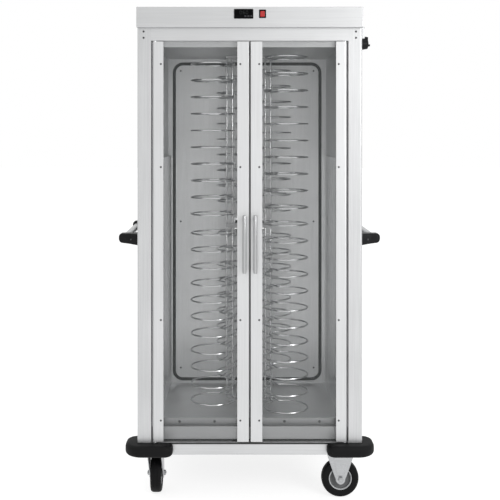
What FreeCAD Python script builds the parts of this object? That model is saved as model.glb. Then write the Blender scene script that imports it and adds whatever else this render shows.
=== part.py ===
"""Heated plate trolley: a steel cabinet on casters, with two glazed doors and wire plate racks.

The front faces -Y and +Z is up.  The origin is on the floor, at the middle of the trolley.
All sizes are in millimetres and come from the sheet called sizes.
"""
import FreeCAD, Part
import math
import os
import re
import Sketcher
from FreeCAD import Placement, Rotation, Vector

SIZES = {
    # cabinet
    "body_width": 750, "body_depth": 620, "total_height": 1661,
    "post_width": 46, "post_depth": 40, "post_wall": 2, "post_round": 6,
    "cover_height": 69, "cover_front": 15, "cover_side": 2, "cover_wall": 2,
    "rail_foot": 169, "rail_height": 35, "rail_width": 40, "pan_thick": 5, "pan_inset": 1,
    "skin_thick": 1.5, "lintel_height": 42.5, "front_rail_depth": 40,
    "sill_height": 47, "sill_front": 24, "sill_depth": 28, "seam": 0.5,
    "vent_length": 180, "vent_height": 8, "vent_pitch": 36, "vents": 4,
    # liner
    "liner_inset": 68, "liner_front": 22, "liner_thick": 1.5, "back_space": 110,
    "ceiling_drop": 19.5, "floor_rise": 13, "lip_rise": 10, "tray_front": 45,
    "duct_height": 886, "left_duct_near_gap": 4, "left_duct_far_gap": 13, "right_duct_gap": 5,
    "duct_front": 64, "duct_bend": 208, "duct_thick": 1.5,
    "gasket_side": 17, "gasket_rise": 9, "gasket_drop": 12, "gasket_width": 12,
    "gasket_round": 40, "gasket_thick": 5,
    "lintel_screw_high": 12, "lintel_screw_pitch": 21, "tray_screw_side": 70.5, "tray_screw_rise": 10,
    "rear_screw_side": 31, "rear_screw_rise": 50, "rear_screw_drop": 33,
    "screw_radius": 3, "screw_head": 2,
    # doors
    "door_gap": 5.4, "door_side_gap": 4, "door_foot_gap": 3, "door_head_gap": 2.5, "door_thick": 18,
    "outer_stile": 37, "inner_stile": 39, "stile_round": 7.5, "meeting_round": 2, "glass_thick": 5,
    "glass_grip": 8, "glass_play": 0.2, "glass_short": 2,
    "hinge_inset": 8, "pin_radius": 3, "pin_clearance": 0.08, "pin_reach": 12, "pin_sides": 12,
    "washer_radius": 6, "running_gap": 0.3,
    "handle_x": 18, "handle_rise": 565, "handle_length": 192, "handle_radius": 6,
    "handle_standoff": 26, "handle_leg": 13, "handle_leg_radius": 5, "handle_leg_sides": 10,
    "catch_width": 24, "catch_height": 14, "catch_side": 12,
    # racks
    "rod_radius": 3, "rod_sides": 8, "rod_spread": 20, "ring_radius": 78, "wire": 5.5, "ring_pitch": 57.6,
    "ring_sides": 8, "ring_clearance": 5, "mast_depth": 243, "left_mast": -68, "right_mast": 70,
    "front_ring_depth": 120, "back_ring_depth": 373,
    "front_left_x": -125, "front_right_x": 127, "back_left_x": -40, "back_right_x": 85,
    "upper_front_left_drop": 31, "upper_back_left_drop": 62,
    "upper_front_right_drop": 8, "upper_back_right_drop": 38,
    "lower_front_left_drop": 5.5, "lower_back_left_drop": 34.5,
    "lower_front_right_drop": 32.5, "lower_back_right_drop": 43,
    "column_x": 4, "column_size": 30, "column_wall": 2, "arm_size": 8,
    "rod_drop": 18, "rod_rise": 19, "lower_rack": 641,
    # heat and air
    "fan_x": 9, "fan_level": 880, "fan_hole": 58, "fan_radius": 50, "hub_radius": 18, "fan_standoff": 4,
    "fan_blades": 7, "blade_thick": 2, "blade_turn": 35, "blade_root": 3, "fan_width": 22, "fan_gap": 8,
    "motor_radius": 34, "motor_length": 46, "shaft_radius": 4, "shaft_clearance": 0.05,
    "strap_reach": 30, "strap_height": 30, "strap_thick": 2,
    "guard_wire": 3, "guard_rings": 3, "guard_lap": 4, "guard_sides": 8, "heater_width": 420, "heater_drop": 260,
    "heater_height": 120, "heater_bar": 9, "heater_bars": 3, "heater_standoff": 30,
    # controls
    "control_drop": 24, "display_x": -20.7, "display_width": 64, "display_height": 32,
    "display_rim": 3, "display_body": 45, "bezel_thick": 4, "window_play": 0.2,
    "key_width": 7, "key_height": 5.5, "key_start": 2, "key_pitch": 10, "key_drop": 11,
    "key_proud": 1, "key_depth": 4.2, "key_travel": 0.8, "key_gap": 0.3,
    "switch_x": 42, "switch_width": 23, "switch_height": 28, "switch_proud": 2.5, "switch_body": 26,
    "switch_rim": 2.5, "switch_wall": 1.2, "switch_room": 16, "rocker_tilt": 8,
    "inlet_depth": 150, "inlet_drop": 39, "inlet_radius": 19, "inlet_length": 37, "inlet_plate": 52,
    "inlet_plate_thick": 4, "inlet_bore": 15, "inlet_floor": 8, "inlet_pin": 2.4, "inlet_pin_circle": 7,
    "duct_width": 22, "duct_deep": 27, "cap_thick": 5, "cap_pin": 1.5, "cap_pin_length": 18,
    "cap_knuckle": 2.6, "cap_knuckle_width": 11, "cap_pin_rise": 3, "cap_nub": 7, "cap_nub_width": 12,
    # push handles and bumpers
    "bar_sides": 16, "push_level": 880, "push_reach": 70, "push_radius": 12.5, "push_front": 80, "push_rear": 100,
    "bracket_width": 42, "bracket_height": 40, "bracket_foot": 64, "bracket_rise": 9, "bracket_round": 12,
    "bumper_reach": 41, "bumper_leg": 119, "bumper_side_leg": 84, "bumper_rise": 1, "bumper_height": 38,
    "bumper_corner": 58, "bumper_end": 27, "bumper_side_end": 36, "bumper_edge": 9,
    # casters
    "wheel_radius": 63.5, "tyre_width": 38, "tyre_shoulder": 7, "rim_radius": 39, "rim_width": 32,
    "rim_lip": 4, "hub_width": 42, "web_thick": 10, "wheel_hub": 13, "bore_clearance": 0.06,
    "axle_radius": 5, "axle_sides": 8, "axle_nut": 8, "nut_radius": 9,
    "rim_sides": 24, "tyre_sides": 36, "caster_inset": 85, "left_caster_inset": 55,
    "right_caster_inset": 65, "caster_trail": 40,
    "plate_length": 104, "fixed_plate": 118, "plate_width": 88, "plate_thick": 4,
    "fork_thick": 3, "fork_inside": 22, "fork_top": 96, "fork_foot": 34, "fork_shoulder": 12,
    "fork_rib": 30, "fork_rib_thick": 1.5,
    "swivel_radius": 34, "swivel_height": 10, "swivel_sides": 20, "kingpin_radius": 6,
    "kingpin_clearance": 0.1, "brake_rise": 73.5, "brake_pin": 3, "brake_hub": 6,
}

# What follows from those sizes, each worked out in the sheet from the names above it.
FOLLOWING = {
    "cover_foot": "total_height - cover_height",
    "lintel_foot": "cover_foot - lintel_height",
    "ceiling": "lintel_foot - ceiling_drop",
    "door_top": "lintel_foot - door_head_gap",
    "control_level": "total_height - control_drop",
    "inlet_level": "cover_foot - inlet_drop",
    "pan_top": "rail_foot + rail_height + pan_thick",
    "sill_top": "pan_top + sill_height",
    "door_foot": "pan_top + door_foot_gap",
    "handle_foot": "door_foot + handle_rise",
    "tray_lip_foot": "sill_top",
    "floor_level": "sill_top + floor_rise",
    "tray_lip_top": "floor_level + lip_rise",
    "liner_half": "body_width / 2 - liner_inset",
    "back_wall": "body_depth - back_space",
    "left_duct_near": "liner_half - left_duct_near_gap",
    "left_duct_far": "liner_half - left_duct_far_gap",
    "right_duct": "liner_half - right_duct_gap",
    "gasket_half": "liner_half - gasket_side",
    "gasket_foot": "floor_level + gasket_rise",
    "gasket_top": "ceiling - gasket_drop",
    "rod_foot": "floor_level + rod_rise",
    "rod_top": "ceiling - rod_drop",
    "lower_rod_top": "floor_level + lower_rack - arm_size",
    "upper_rod_foot": "floor_level + lower_rack + arm_size",
    "heater_level": "fan_level - heater_drop",
    "bumper_foot": "rail_foot + bumper_rise",
    "left_caster": "body_width / 2 - left_caster_inset",
    "right_caster": "body_width / 2 - right_caster_inset",
    "caster_y": "body_depth / 2 - caster_inset",
    "brake_pivot": "wheel_radius + brake_rise",
}

doc = FreeCAD.newDocument("plate_trolley")
sizes = doc.addObject("Spreadsheet::Sheet", "sizes")
rows = list(SIZES.items()) + [(name, "=" + formula) for name, formula in FOLLOWING.items()]
for row, (alias, value) in enumerate(rows, start=1):
    sizes.set("A%d" % row, alias)
    sizes.setAlias("B%d" % row, alias)
    sizes.set("B%d" % row, str(value))
doc.recompute()

WORD = re.compile(r"[A-Za-z_][A-Za-z_0-9]*")
AXES = {"x": Rotation(Vector(0, 1, 0), 90), "y": Rotation(Vector(1, 0, 0), -90), "z": Rotation()}
nodes = []


class Sheet:
    """Reads a size of the sheet by its name."""

    def __getattr__(self, name):
        return float(sizes.get(name))


s = Sheet()
FRONT = "-body_depth/2"
front = -s.body_depth / 2


def bind(thing, prop, text):
    """Tie a property to an expression in the names of the sheet."""
    names = dict(rows)
    text = WORD.sub(lambda word: ("sizes." if word.group() in names else "") + word.group(), str(text))
    thing.setExpression(prop, text)


def place(thing, x, y, z, turn=None):
    if turn is not None:
        thing.Placement = Placement(Vector(), turn)
    for prop, text in zip(("x", "y", "z"), (x, y, z)):
        bind(thing, "Placement.Base." + prop, text)
    return thing


def box(x, y, z, length, width, height):
    """A box from its low corner and its three sides."""
    thing = doc.addObject("Part::Box", "block")
    for prop, text in (("Length", length), ("Width", width), ("Height", height)):
        bind(thing, prop, text)
    return place(thing, x, y, z)


def rod(x, y, z, radius, length, axis="z"):
    """A round bar from the middle of its low end."""
    thing = doc.addObject("Part::Cylinder", "bar")
    bind(thing, "Radius", radius)
    bind(thing, "Height", length)
    return place(thing, x, y, z, AXES[axis])


def polygon_bar(x, y, z, radius, length, sides, axis="z"):
    """A bar with a regular polygon for its section."""
    thing = doc.addObject("Part::Prism", "prism")
    bind(thing, "Polygon", sides)
    bind(thing, "Circumradius", radius)
    bind(thing, "Height", length)
    return place(thing, x, y, z, AXES[axis])


def cut(base, *tools):
    """The base without its tools."""
    for tool in tools:
        thing = doc.addObject("Part::Cut", "cut")
        thing.Base = base
        thing.Tool = tool
        base = thing
    return base


def fuse(*parts):
    thing = doc.addObject("Part::MultiFuse", "joined")
    thing.Shapes = list(parts)
    thing.Refine = True
    return thing


def mirrored(thing, plane="x"):
    """A copy on the other side of the middle plane."""
    copy = doc.addObject("Part::Mirroring", "mirrored")
    copy.Source = thing
    copy.Normal = Vector(1, 0, 0) if plane == "x" else Vector(0, 1, 0)
    return copy


def node(label, *parts):
    """Name a sub-part; several loose solids are kept together as one group."""
    thing = parts[0]
    if len(parts) > 1:
        thing = doc.addObject("Part::Compound", "group")
        thing.Links = list(parts)
    thing.Label = label
    nodes.append(thing)
    return thing


def feature(shape):
    """A sub-part whose shape is worked out here from the sheet."""
    thing = doc.addObject("Part::Feature", "made")
    thing.Shape = shape
    return thing


def prism(points, plane, start, thick):
    """A flat outline pushed along the normal of its plane, from start."""
    lift = {"xy": lambda a, b: Vector(a, b, start), "xz": lambda a, b: Vector(a, start, b),
            "yz": lambda a, b: Vector(start, a, b)}[plane]
    push = {"xy": Vector(0, 0, thick), "xz": Vector(0, thick, 0), "yz": Vector(thick, 0, 0)}[plane]
    wire = Part.makePolygon([lift(a, b) for a, b in points + points[:1]])
    return Part.Face(wire).extrude(push)


def corners(radius, sides, x=0.0, y=0.0):
    """The corners of a regular polygon about a point."""
    turn = 2 * math.pi / int(sides)
    return [(x + radius * math.cos(turn * index), y + radius * math.sin(turn * index))
            for index in range(int(sides))]


def bore_radius(radius, clearance, sides):
    """The corner radius of a many-sided bore whose flats clear a pin of the radius."""
    return (radius + clearance) / math.cos(math.pi / sides)


def eased(points, radii, steps):
    """An outline whose corners are replaced by chords of an arc of the radius given for each."""
    made = []
    count = len(points)
    for index, (point, radius) in enumerate(zip(points, radii)):
        if not radius:
            made.append(point)
            continue
        here = Vector(*point, 0)
        back = (Vector(*points[index - 1], 0) - here).normalize()
        ahead = (Vector(*points[(index + 1) % count], 0) - here).normalize()
        half = back.getAngle(ahead) / 2
        centre = here + (back + ahead).normalize() * (radius / math.sin(half))
        start = here + back * (radius / math.tan(half)) - centre
        turn = math.pi - 2 * half
        way = -1 if start.cross(back).z > 0 else 1
        for step in range(steps + 1):
            angle = way * turn * step / steps
            made.append((centre.x + start.x * math.cos(angle) - start.y * math.sin(angle),
                         centre.y + start.x * math.sin(angle) + start.y * math.cos(angle)))
    return made


def inset(points, distances):
    """An outline, anticlockwise, with each side moved in by its own distance and mitred again."""
    count = len(points)
    lines = []
    for index, distance in enumerate(distances):
        start, end = Vector(*points[index], 0), Vector(*points[(index + 1) % count], 0)
        way = (end - start).normalize()
        lines.append((start + Vector(-way.y, way.x, 0) * distance, way))
    made = []
    for index in range(count):
        (before, way_in), (after, way_out) = lines[index - 1], lines[index]
        gap = after - before
        share = (gap.x * way_out.y - gap.y * way_out.x) / (way_in.x * way_out.y - way_in.y * way_out.x)
        corner = before + way_in * share
        made.append((corner.x, corner.y))
    return made


def layered(outlines):
    """A solid with flat sides through outlines of as many corners, each given with its level."""
    rings = [[Vector(a, b, level) for a, b in outline] for outline, level in outlines]
    faces = [rings[0], rings[-1]]
    for low, high in zip(rings, rings[1:]):
        for index in range(len(low)):
            after = (index + 1) % len(low)
            faces.append([low[index], low[after], high[after], high[index]])
    solid = Part.Solid(Part.Shell([Part.Face(Part.makePolygon(face + face[:1])) for face in faces]))
    if solid.Volume < 0:
        solid.reverse()
    return solid


def screws(places, axis):
    """Screw heads, six-sided, at a list of places."""
    return [polygon_bar(x, y, z, "screw_radius", "screw_head", 6, axis) for x, y, z in places]


# ---------------------------------------------------------------- base and cabinet

def base_rails():
    """Four square tubes, the long pair between the ends of the short pair."""
    rails = []
    for y in (FRONT, "body_depth/2 - rail_width"):
        outer = box("-body_width/2", y, "rail_foot", "body_width", "rail_width", "rail_height")
        inner = box("-body_width/2", y + " + post_wall", "rail_foot + post_wall", "body_width",
                    "rail_width - 2*post_wall", "rail_height - 2*post_wall")
        rails.append(cut(outer, inner))
    outer = box("-body_width/2", FRONT + " + rail_width", "rail_foot", "rail_width",
                "body_depth - 2*rail_width", "rail_height")
    inner = box("-body_width/2 + post_wall", FRONT + " + rail_width", "rail_foot + post_wall",
                "rail_width - 2*post_wall", "body_depth - 2*rail_width", "rail_height - 2*post_wall")
    side = cut(outer, inner)
    node("base_rails", *rails, side, mirrored(side))
    node("bottom_pan", box("-body_width/2 + pan_inset", FRONT + " + pan_inset",
                           "rail_foot + rail_height", "body_width - 2*pan_inset",
                           "body_depth - 2*pan_inset", "pan_thick"))


def corner_post():
    """A tube with its outer corner rounded, drawn as a body for the front left corner."""
    body = doc.addObject("PartDesign::Body", "post")
    outline = body.newObject("Sketcher::SketchObject", "post_outline")
    plane = [part for part in body.Origin.OriginFeatures if part.Role == "XY_Plane"][0]
    outline.AttachmentSupport = [(plane, "")]
    outline.MapMode = "FlatFace"
    left, near = -s.body_width / 2, front
    right, far = left + s.post_width, near + s.post_depth
    corners = [Vector(left, near), Vector(right, near), Vector(right, far), Vector(left, far)]
    for start, end in zip(corners, corners[1:] + corners[:1]):
        outline.addGeometry(Part.LineSegment(start, end), False)
    for side in range(4):
        follower = (side + 1) % 4
        outline.addConstraint(Sketcher.Constraint("Coincident", side, 2, follower, 1))
    for side, kind in enumerate(("Horizontal", "Vertical", "Horizontal", "Vertical")):
        outline.addConstraint(Sketcher.Constraint(kind, side))
    named = (("post_across", "DistanceX", (0, 1, 0, 2), s.post_width, "post_width"),
             ("post_along", "DistanceY", (1, 1, 1, 2), s.post_depth, "post_depth"),
             ("post_left", "DistanceX", (0, 1, -1, 1), -left, "body_width/2"),
             ("post_front", "DistanceY", (0, 1, -1, 1), -near, "body_depth/2"))
    for name, kind, where, value, text in named:
        index = outline.addConstraint(Sketcher.Constraint(kind, *where, value))
        outline.renameConstraint(index, name)
        bind(outline, "Constraints." + name, text)
    pad = body.newObject("PartDesign::Pad", "post_length")
    pad.Profile = outline
    bind(pad, "Length", "cover_foot - pan_top")
    doc.recompute()
    edges = []
    for index, edge in enumerate(pad.Shape.Edges, start=1):
        bounds = edge.BoundBox
        at_corner = abs(bounds.XMin - left) < 0.01 and abs(bounds.YMin - near) < 0.01
        if bounds.ZLength > s.post_width and at_corner:
            edges.append("Edge%d" % index)
    rounding = body.newObject("PartDesign::Fillet", "post_rounding")
    rounding.Base = (pad, edges)
    bind(rounding, "Radius", "post_round")
    body.Tip = rounding
    bind(body, "Placement.Base.z", "pan_top")
    hollow = box("-body_width/2 + post_wall + post_round/3", FRONT + " + post_wall + post_round/3",
                 "rail_foot", "post_width - 2*post_wall - post_round/3",
                 "post_depth - 2*post_wall - post_round/3", "total_height")
    return cut(body, hollow)


def cabinet_shell():
    post = corner_post()
    pair = [post, mirrored(post)]
    node("corner_posts", *pair, *[mirrored(one, "y") for one in pair])
    wall_height, wall_foot = "cover_foot - pan_top", "pan_top"
    side = box("-body_width/2 + pan_inset", FRONT + " + post_depth", wall_foot,
               "skin_thick", "body_depth - 2*post_depth", wall_height)
    node("side_panels", side, mirrored(side))
    panel = box("-body_width/2 + post_width", "body_depth/2 - pan_inset - skin_thick", wall_foot,
                "body_width - 2*post_width", "skin_thick", wall_height)
    slots = []
    for row in range(int(s.vents)):
        level = "fan_level + vent_pitch*(%d - (vents - 1)/2) - vent_height/2" % row
        slots.append(box("fan_x - vent_length/2", "body_depth/2 - 4*pan_inset", level, "vent_length",
                         "5*pan_inset", "vent_height"))
    node("back_panel", cut(panel, *slots))


def front_rails():
    """The lintel over the doors and the sill behind their feet, both square tubes."""
    across = "body_width - 2*post_width"
    lintel = cut(box("-body_width/2 + post_width", FRONT, "lintel_foot", across,
                     "front_rail_depth", "cover_foot - lintel_foot"),
                 box("-body_width/2 + post_width", FRONT + " + post_wall",
                     "lintel_foot + post_wall", across, "front_rail_depth - 2*post_wall",
                     "cover_foot - lintel_foot - 2*post_wall"))
    sill = cut(box("-body_width/2 + post_width", FRONT + " + sill_front", "pan_top", across, "sill_depth",
                   "sill_height"),
               box("-body_width/2 + post_width", FRONT + " + sill_front + post_wall", "pan_top + post_wall",
                   across, "sill_depth - 2*post_wall", "sill_height - 2*post_wall"))
    node("front_rails", lintel, sill)


def top_cover():
    """A lid open below, with windows in its front for the display and the switch."""
    outer = box("-body_width/2 - cover_side", FRONT + " - cover_front", "cover_foot",
                "body_width + 2*cover_side", "body_depth + cover_front + cover_side",
                "total_height - cover_foot")
    inner = box("-body_width/2 - cover_side + cover_wall", FRONT + " - cover_front + cover_wall",
                "cover_foot + cover_wall", "body_width + 2*cover_side - 2*cover_wall",
                "body_depth + cover_front + cover_side - 2*cover_wall",
                "total_height - cover_foot - 2*cover_wall")
    windows = []
    for x, width, height in (("display_x", "display_width - 2*display_rim", "display_height - 2*display_rim"),
                             ("switch_x", "switch_width - 2*switch_rim", "switch_height - 2*switch_rim")):
        windows.append(box("%s - (%s)/2" % (x, width), FRONT + " - cover_front - cover_wall",
                           "control_level - (%s)/2" % height, width, "3*cover_wall", height))
    node("top_cover", cut(outer, inner, *windows))


# ---------------------------------------------------------------- liner

def liner():
    wall_depth = "back_wall - liner_front"
    wall = box("-liner_half - liner_thick", FRONT + " + liner_front", "tray_lip_foot",
               "liner_thick", wall_depth, "ceiling - tray_lip_foot")
    flange = box("-body_width/2 + post_width + seam", FRONT + " + liner_front", "sill_top",
                 "body_width/2 - post_width - seam - liner_half - liner_thick", "liner_thick",
                 "lintel_foot - sill_top")
    side = fuse(wall, flange)
    node("liner_walls", side, mirrored(side))
    ceiling = box("-liner_half", FRONT + " + liner_front + liner_thick", "ceiling",
                  "2*liner_half", "back_wall - liner_front - liner_thick", "liner_thick")
    drop = box("-liner_half", FRONT + " + liner_front + liner_thick", "ceiling",
               "2*liner_half", "liner_thick", "lintel_foot - ceiling")
    node("ceiling_panel", fuse(ceiling, drop))
    plate = box("-liner_half", FRONT + " + tray_front", "floor_level - 2*liner_thick",
                "2*liner_half", "back_wall - tray_front", "2*liner_thick")
    lip = box("-liner_half", FRONT + " + tray_front", "tray_lip_foot", "2*liner_half",
              "liner_thick", "tray_lip_top - tray_lip_foot")
    shelf = box("-liner_half", FRONT + " + tray_front", "tray_lip_foot", "2*liner_half",
                "back_wall - tray_front", "liner_thick")
    node("floor_tray", fuse(plate, lip, shelf))
    panel = box("-body_width/2 + post_width", FRONT + " + back_wall", "tray_lip_foot",
                "body_width - 2*post_width", "liner_thick", "lintel_foot - tray_lip_foot")
    hole = polygon_bar("fan_x", FRONT + " + back_wall - liner_thick", "fan_level", "fan_hole", "3*liner_thick",
                       24, "y")
    node("rear_panel", cut(panel, hole))


def gasket():
    """A flat rubber ring with round corners, stuck on the rear panel."""
    half, width, radius = s.gasket_half, s.gasket_width, s.gasket_round
    rims = []
    for step in (0, width):
        outline = [(-half + step, s.gasket_foot + step), (half - step, s.gasket_foot + step),
                   (half - step, s.gasket_top - step), (-half + step, s.gasket_top - step)]
        rims.append(prism(eased(outline, [radius - step] * 4, 5), "xz", front + s.back_wall - s.gasket_thick,
                          s.gasket_thick))
    node("rear_gasket", feature(rims[0].cut(rims[1])))


def duct_covers():
    """Low side sheets; the left one leans in towards the back."""
    foot, height = s.floor_level, s.duct_height
    near, bend, far = front + s.duct_front, front + s.duct_bend, front + s.back_wall - s.running_gap
    thick = s.duct_thick
    left = [(-s.liner_half, near), (-s.left_duct_near, near), (-s.left_duct_near, bend),
            (-s.left_duct_far, far), (-s.left_duct_far - thick, far),
            (-s.left_duct_near - thick, bend + thick), (-s.left_duct_near - thick, near + thick),
            (-s.liner_half, near + thick)]
    right = [(s.liner_half, near), (s.right_duct, near), (s.right_duct, far),
             (s.right_duct + thick, far), (s.right_duct + thick, near + thick),
             (s.liner_half, near + thick)]
    node("duct_covers", feature(prism(left, "xy", foot, height)), feature(prism(right, "xy", foot, height)))


def frame_screws():
    """The rivets of the lintel, the screws of the tray lip and those of the rear panel."""
    heads = []
    for side in ("-", ""):
        for level in ("cover_foot - lintel_screw_high", "cover_foot - lintel_screw_high - lintel_screw_pitch"):
            heads.append((side + "(body_width/2 - lintel_screw_pitch)", FRONT + " - screw_head", level))
        for share in (1, 2):
            heads.append(("%s(liner_half - tray_screw_side)/%d" % (side, share),
                          FRONT + " + tray_front - screw_head", "tray_lip_foot + tray_screw_rise"))
        for level in ("gasket_foot + rear_screw_rise", "(gasket_foot + gasket_top)/2",
                      "gasket_top - rear_screw_drop"):
            heads.append((side + "(gasket_half - rear_screw_side)", FRONT + " + back_wall - screw_head", level))
    node("frame_screws", *screws(heads, "y"))


# ---------------------------------------------------------------- plate racks

def strip(points, width):
    """The outline of a band of even width along an open path, mitred at its corners."""
    left, right = [], []
    for index, point in enumerate(points):
        before = points[max(index - 1, 0)]
        after = points[min(index + 1, len(points) - 1)]
        ways = []
        for start, end in ((before, point), (point, after)):
            if (end - start).Length > 1e-9:
                ways.append((end - start).normalize())
        normals = [Vector(-way.y, way.x, 0) for way in ways]
        middle = sum(normals[1:], normals[0]).normalize()
        middle = middle * (width / 2 / middle.dot(normals[0]))
        left.append(point + middle)
        right.append(point - middle)
    return left + right[::-1]


def wire_ring(centre, mast, level):
    """One plate ring: a wire bent round to two legs, which end on the two rods of the mast."""
    reach = s.ring_radius - s.wire / 2
    along = (mast - centre).normalize()
    across = Vector(-along.y, along.x, 0)
    half = s.rod_spread / 2
    opening = math.asin(half / reach)
    turn = 2 * (math.pi - opening) / s.ring_sides
    path = []
    for index in range(int(s.ring_sides) + 1):
        angle = opening + turn * index
        path.append(centre + along * (reach * math.cos(angle)) + across * (reach * math.sin(angle)))
    first, last = mast + Vector(-half, 0, 0), mast + Vector(half, 0, 0)
    if (first - mast).dot(across) < 0:
        first, last = last, first
    ends = []
    for rod_place, start in ((first, path[0]), (last, path[-1])):
        way = (start - rod_place).normalize()
        ends.append(rod_place + way * s.rod_radius)
    outline = strip([ends[0]] + path + [ends[1]], s.wire)
    corners = [(point.x, point.y) for point in outline]
    return prism(corners, "xy", level - s.wire / 2, s.wire)


def mast_place(x):
    return Vector(x, front + s.mast_depth, 0)


def ring_levels(rod_top, rod_foot, drop, left_out):
    """The levels of a stack, evenly spaced down its rods, less those left out at its foot."""
    top = rod_top - drop
    count = int((top - rod_foot - s.ring_clearance) // s.ring_pitch) + 1 - left_out
    return [top - index * s.ring_pitch for index in range(count)]


def racks():
    """Four racks; each has a front stack and a back stack of rings on one pair of rods."""
    plan = (("upper_left_rings", s.left_mast, s.rod_top, s.upper_rod_foot,
             (s.front_left_x, s.upper_front_left_drop, 0), (s.back_left_x, s.upper_back_left_drop, 1)),
            ("upper_right_rings", s.right_mast, s.rod_top, s.upper_rod_foot,
             (s.front_right_x, s.upper_front_right_drop, 0), (s.back_right_x, s.upper_back_right_drop, 0)),
            ("lower_left_rings", s.left_mast, s.lower_rod_top, s.rod_foot,
             (s.front_left_x, s.lower_front_left_drop, 0), (s.back_left_x, s.lower_back_left_drop, 0)),
            ("lower_right_rings", s.right_mast, s.lower_rod_top, s.rod_foot,
             (s.front_right_x, s.lower_front_right_drop, 0), (s.back_right_x, s.lower_back_right_drop, 1)))
    for label, mast, top, foot, *stacks in plan:
        rings = []
        for depth, (x, drop, left_out) in zip((s.front_ring_depth, s.back_ring_depth), stacks):
            centre = Vector(x, front + depth, 0)
            for level in ring_levels(top, foot, drop, left_out):
                rings.append(feature(wire_ring(centre, mast_place(mast), level)))
        node(label, *rings)
    rods = []
    for mast in ("left_mast", "right_mast"):
        for side in (" - rod_spread/2", " + rod_spread/2"):
            for foot, top in (("rod_foot", "lower_rod_top"), ("upper_rod_foot", "rod_top")):
                rods.append(polygon_bar(mast + side, FRONT + " + mast_depth", foot, "rod_radius",
                                        "%s - %s" % (top, foot), "rod_sides"))
    node("rack_rods", *rods)
    rack_column()


def rack_column():
    """The square column behind the door meeting, with an arm to the ends of each rod pair."""
    corner = ("column_x - column_size/2", FRONT + " + mast_depth - column_size/2")
    tube = cut(box(*corner, "floor_level", "column_size", "column_size", "ceiling - floor_level"),
               box(corner[0] + " + column_wall", corner[1] + " + column_wall", "floor_level",
                   "column_size - 2*column_wall", "column_size - 2*column_wall", "ceiling"))
    parts = [tube]
    left_end = "left_mast - rod_spread/2 - rod_radius"
    right_end = "right_mast + rod_spread/2 + rod_radius"
    for level in ("rod_top", "upper_rod_foot - arm_size", "lower_rod_top", "rod_foot - arm_size"):
        y = FRONT + " + mast_depth - arm_size/2"
        parts.append(box(left_end, y, level, "column_x - column_size/2 - (%s)" % left_end,
                         "arm_size", "arm_size"))
        parts.append(box("column_x + column_size/2", y, level,
                         "%s - column_x - column_size/2" % right_end, "arm_size", "arm_size"))
    node("rack_column", fuse(*parts))


# ---------------------------------------------------------------- heat and air

def air_heater():
    """A fan behind the rear panel, with a bar heater below it."""
    back = FRONT + " + back_wall + liner_thick"
    motor_front = back + " + fan_standoff + fan_width + fan_gap"
    motor = polygon_bar("fan_x", motor_front, "fan_level", "motor_radius", "motor_length", 16, "y")
    strap_foot = "fan_level - strap_height/2"
    strap = box("fan_x - motor_radius - strap_reach", motor_front + " + motor_length", strap_foot,
                "2*motor_radius + 2*strap_reach", "strap_thick", "strap_height")
    feet = []
    for x in ("fan_x - motor_radius - strap_reach", "fan_x + motor_radius + strap_reach - strap_thick"):
        feet.append(box(x, motor_front + " + motor_length", strap_foot, "strap_thick",
                        "body_depth/2 - pan_inset - skin_thick - (%s) - motor_length" % motor_front,
                        "strap_height"))
    spindle = polygon_bar("fan_x", back + " + fan_standoff + strap_thick", "fan_level", "shaft_radius",
                          "fan_width + fan_gap - strap_thick", 12, "y")
    node("fan_motor", fuse(motor, strap, *feet, spindle))
    fan_wheel(front + s.back_wall + s.liner_thick + s.fan_standoff)
    guard = []
    step = s.fan_hole / s.guard_rings
    y = front + s.back_wall - s.guard_wire
    for index in range(1, int(s.guard_rings) + 1):
        outer = step * index + (s.guard_lap if index == s.guard_rings else 0)
        guard.append(guard_ring(outer, outer - s.guard_wire, y))
    spoke = s.fan_hole + s.guard_lap - s.guard_wire / 2
    for angle in (45, 135):
        bar = Part.makeBox(2 * spoke, s.guard_wire, s.guard_wire,
                           Vector(-spoke, y, -s.guard_wire / 2))
        bar.rotate(Vector(), Vector(0, 1, 0), angle)
        bar.translate(Vector(s.fan_x, 0, s.fan_level))
        guard.append(bar)
    node("fan_guard", feature(guard[0].fuse(guard[1:]).removeSplitter()))
    bars = []
    half = s.heater_width / 2
    y = front + s.back_wall + s.liner_thick + s.heater_standoff
    for index in range(int(s.heater_bars)):
        z = s.heater_level + index * (s.heater_height - s.heater_bar) / (s.heater_bars - 1)
        bars.append(Part.makeBox(2 * half, s.heater_bar, s.heater_bar, Vector(-half, y, z)))
    for x in (-half, half - s.heater_bar):
        depth = s.heater_standoff + s.heater_bar
        bars.append(Part.makeBox(s.heater_bar, depth, s.heater_height,
                                 Vector(x, y + s.heater_bar - depth, s.heater_level)))
    node("heating_element", feature(bars[0].fuse(bars[1:]).removeSplitter()))


def guard_ring(outer, inner, y):
    """One many-sided hoop of the fan guard."""
    hoops = [prism(corners(radius, s.guard_sides, s.fan_x, s.fan_level), "xz", y, s.guard_wire)
             for radius in (outer, inner)]
    return hoops[0].cut(hoops[1])


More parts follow.
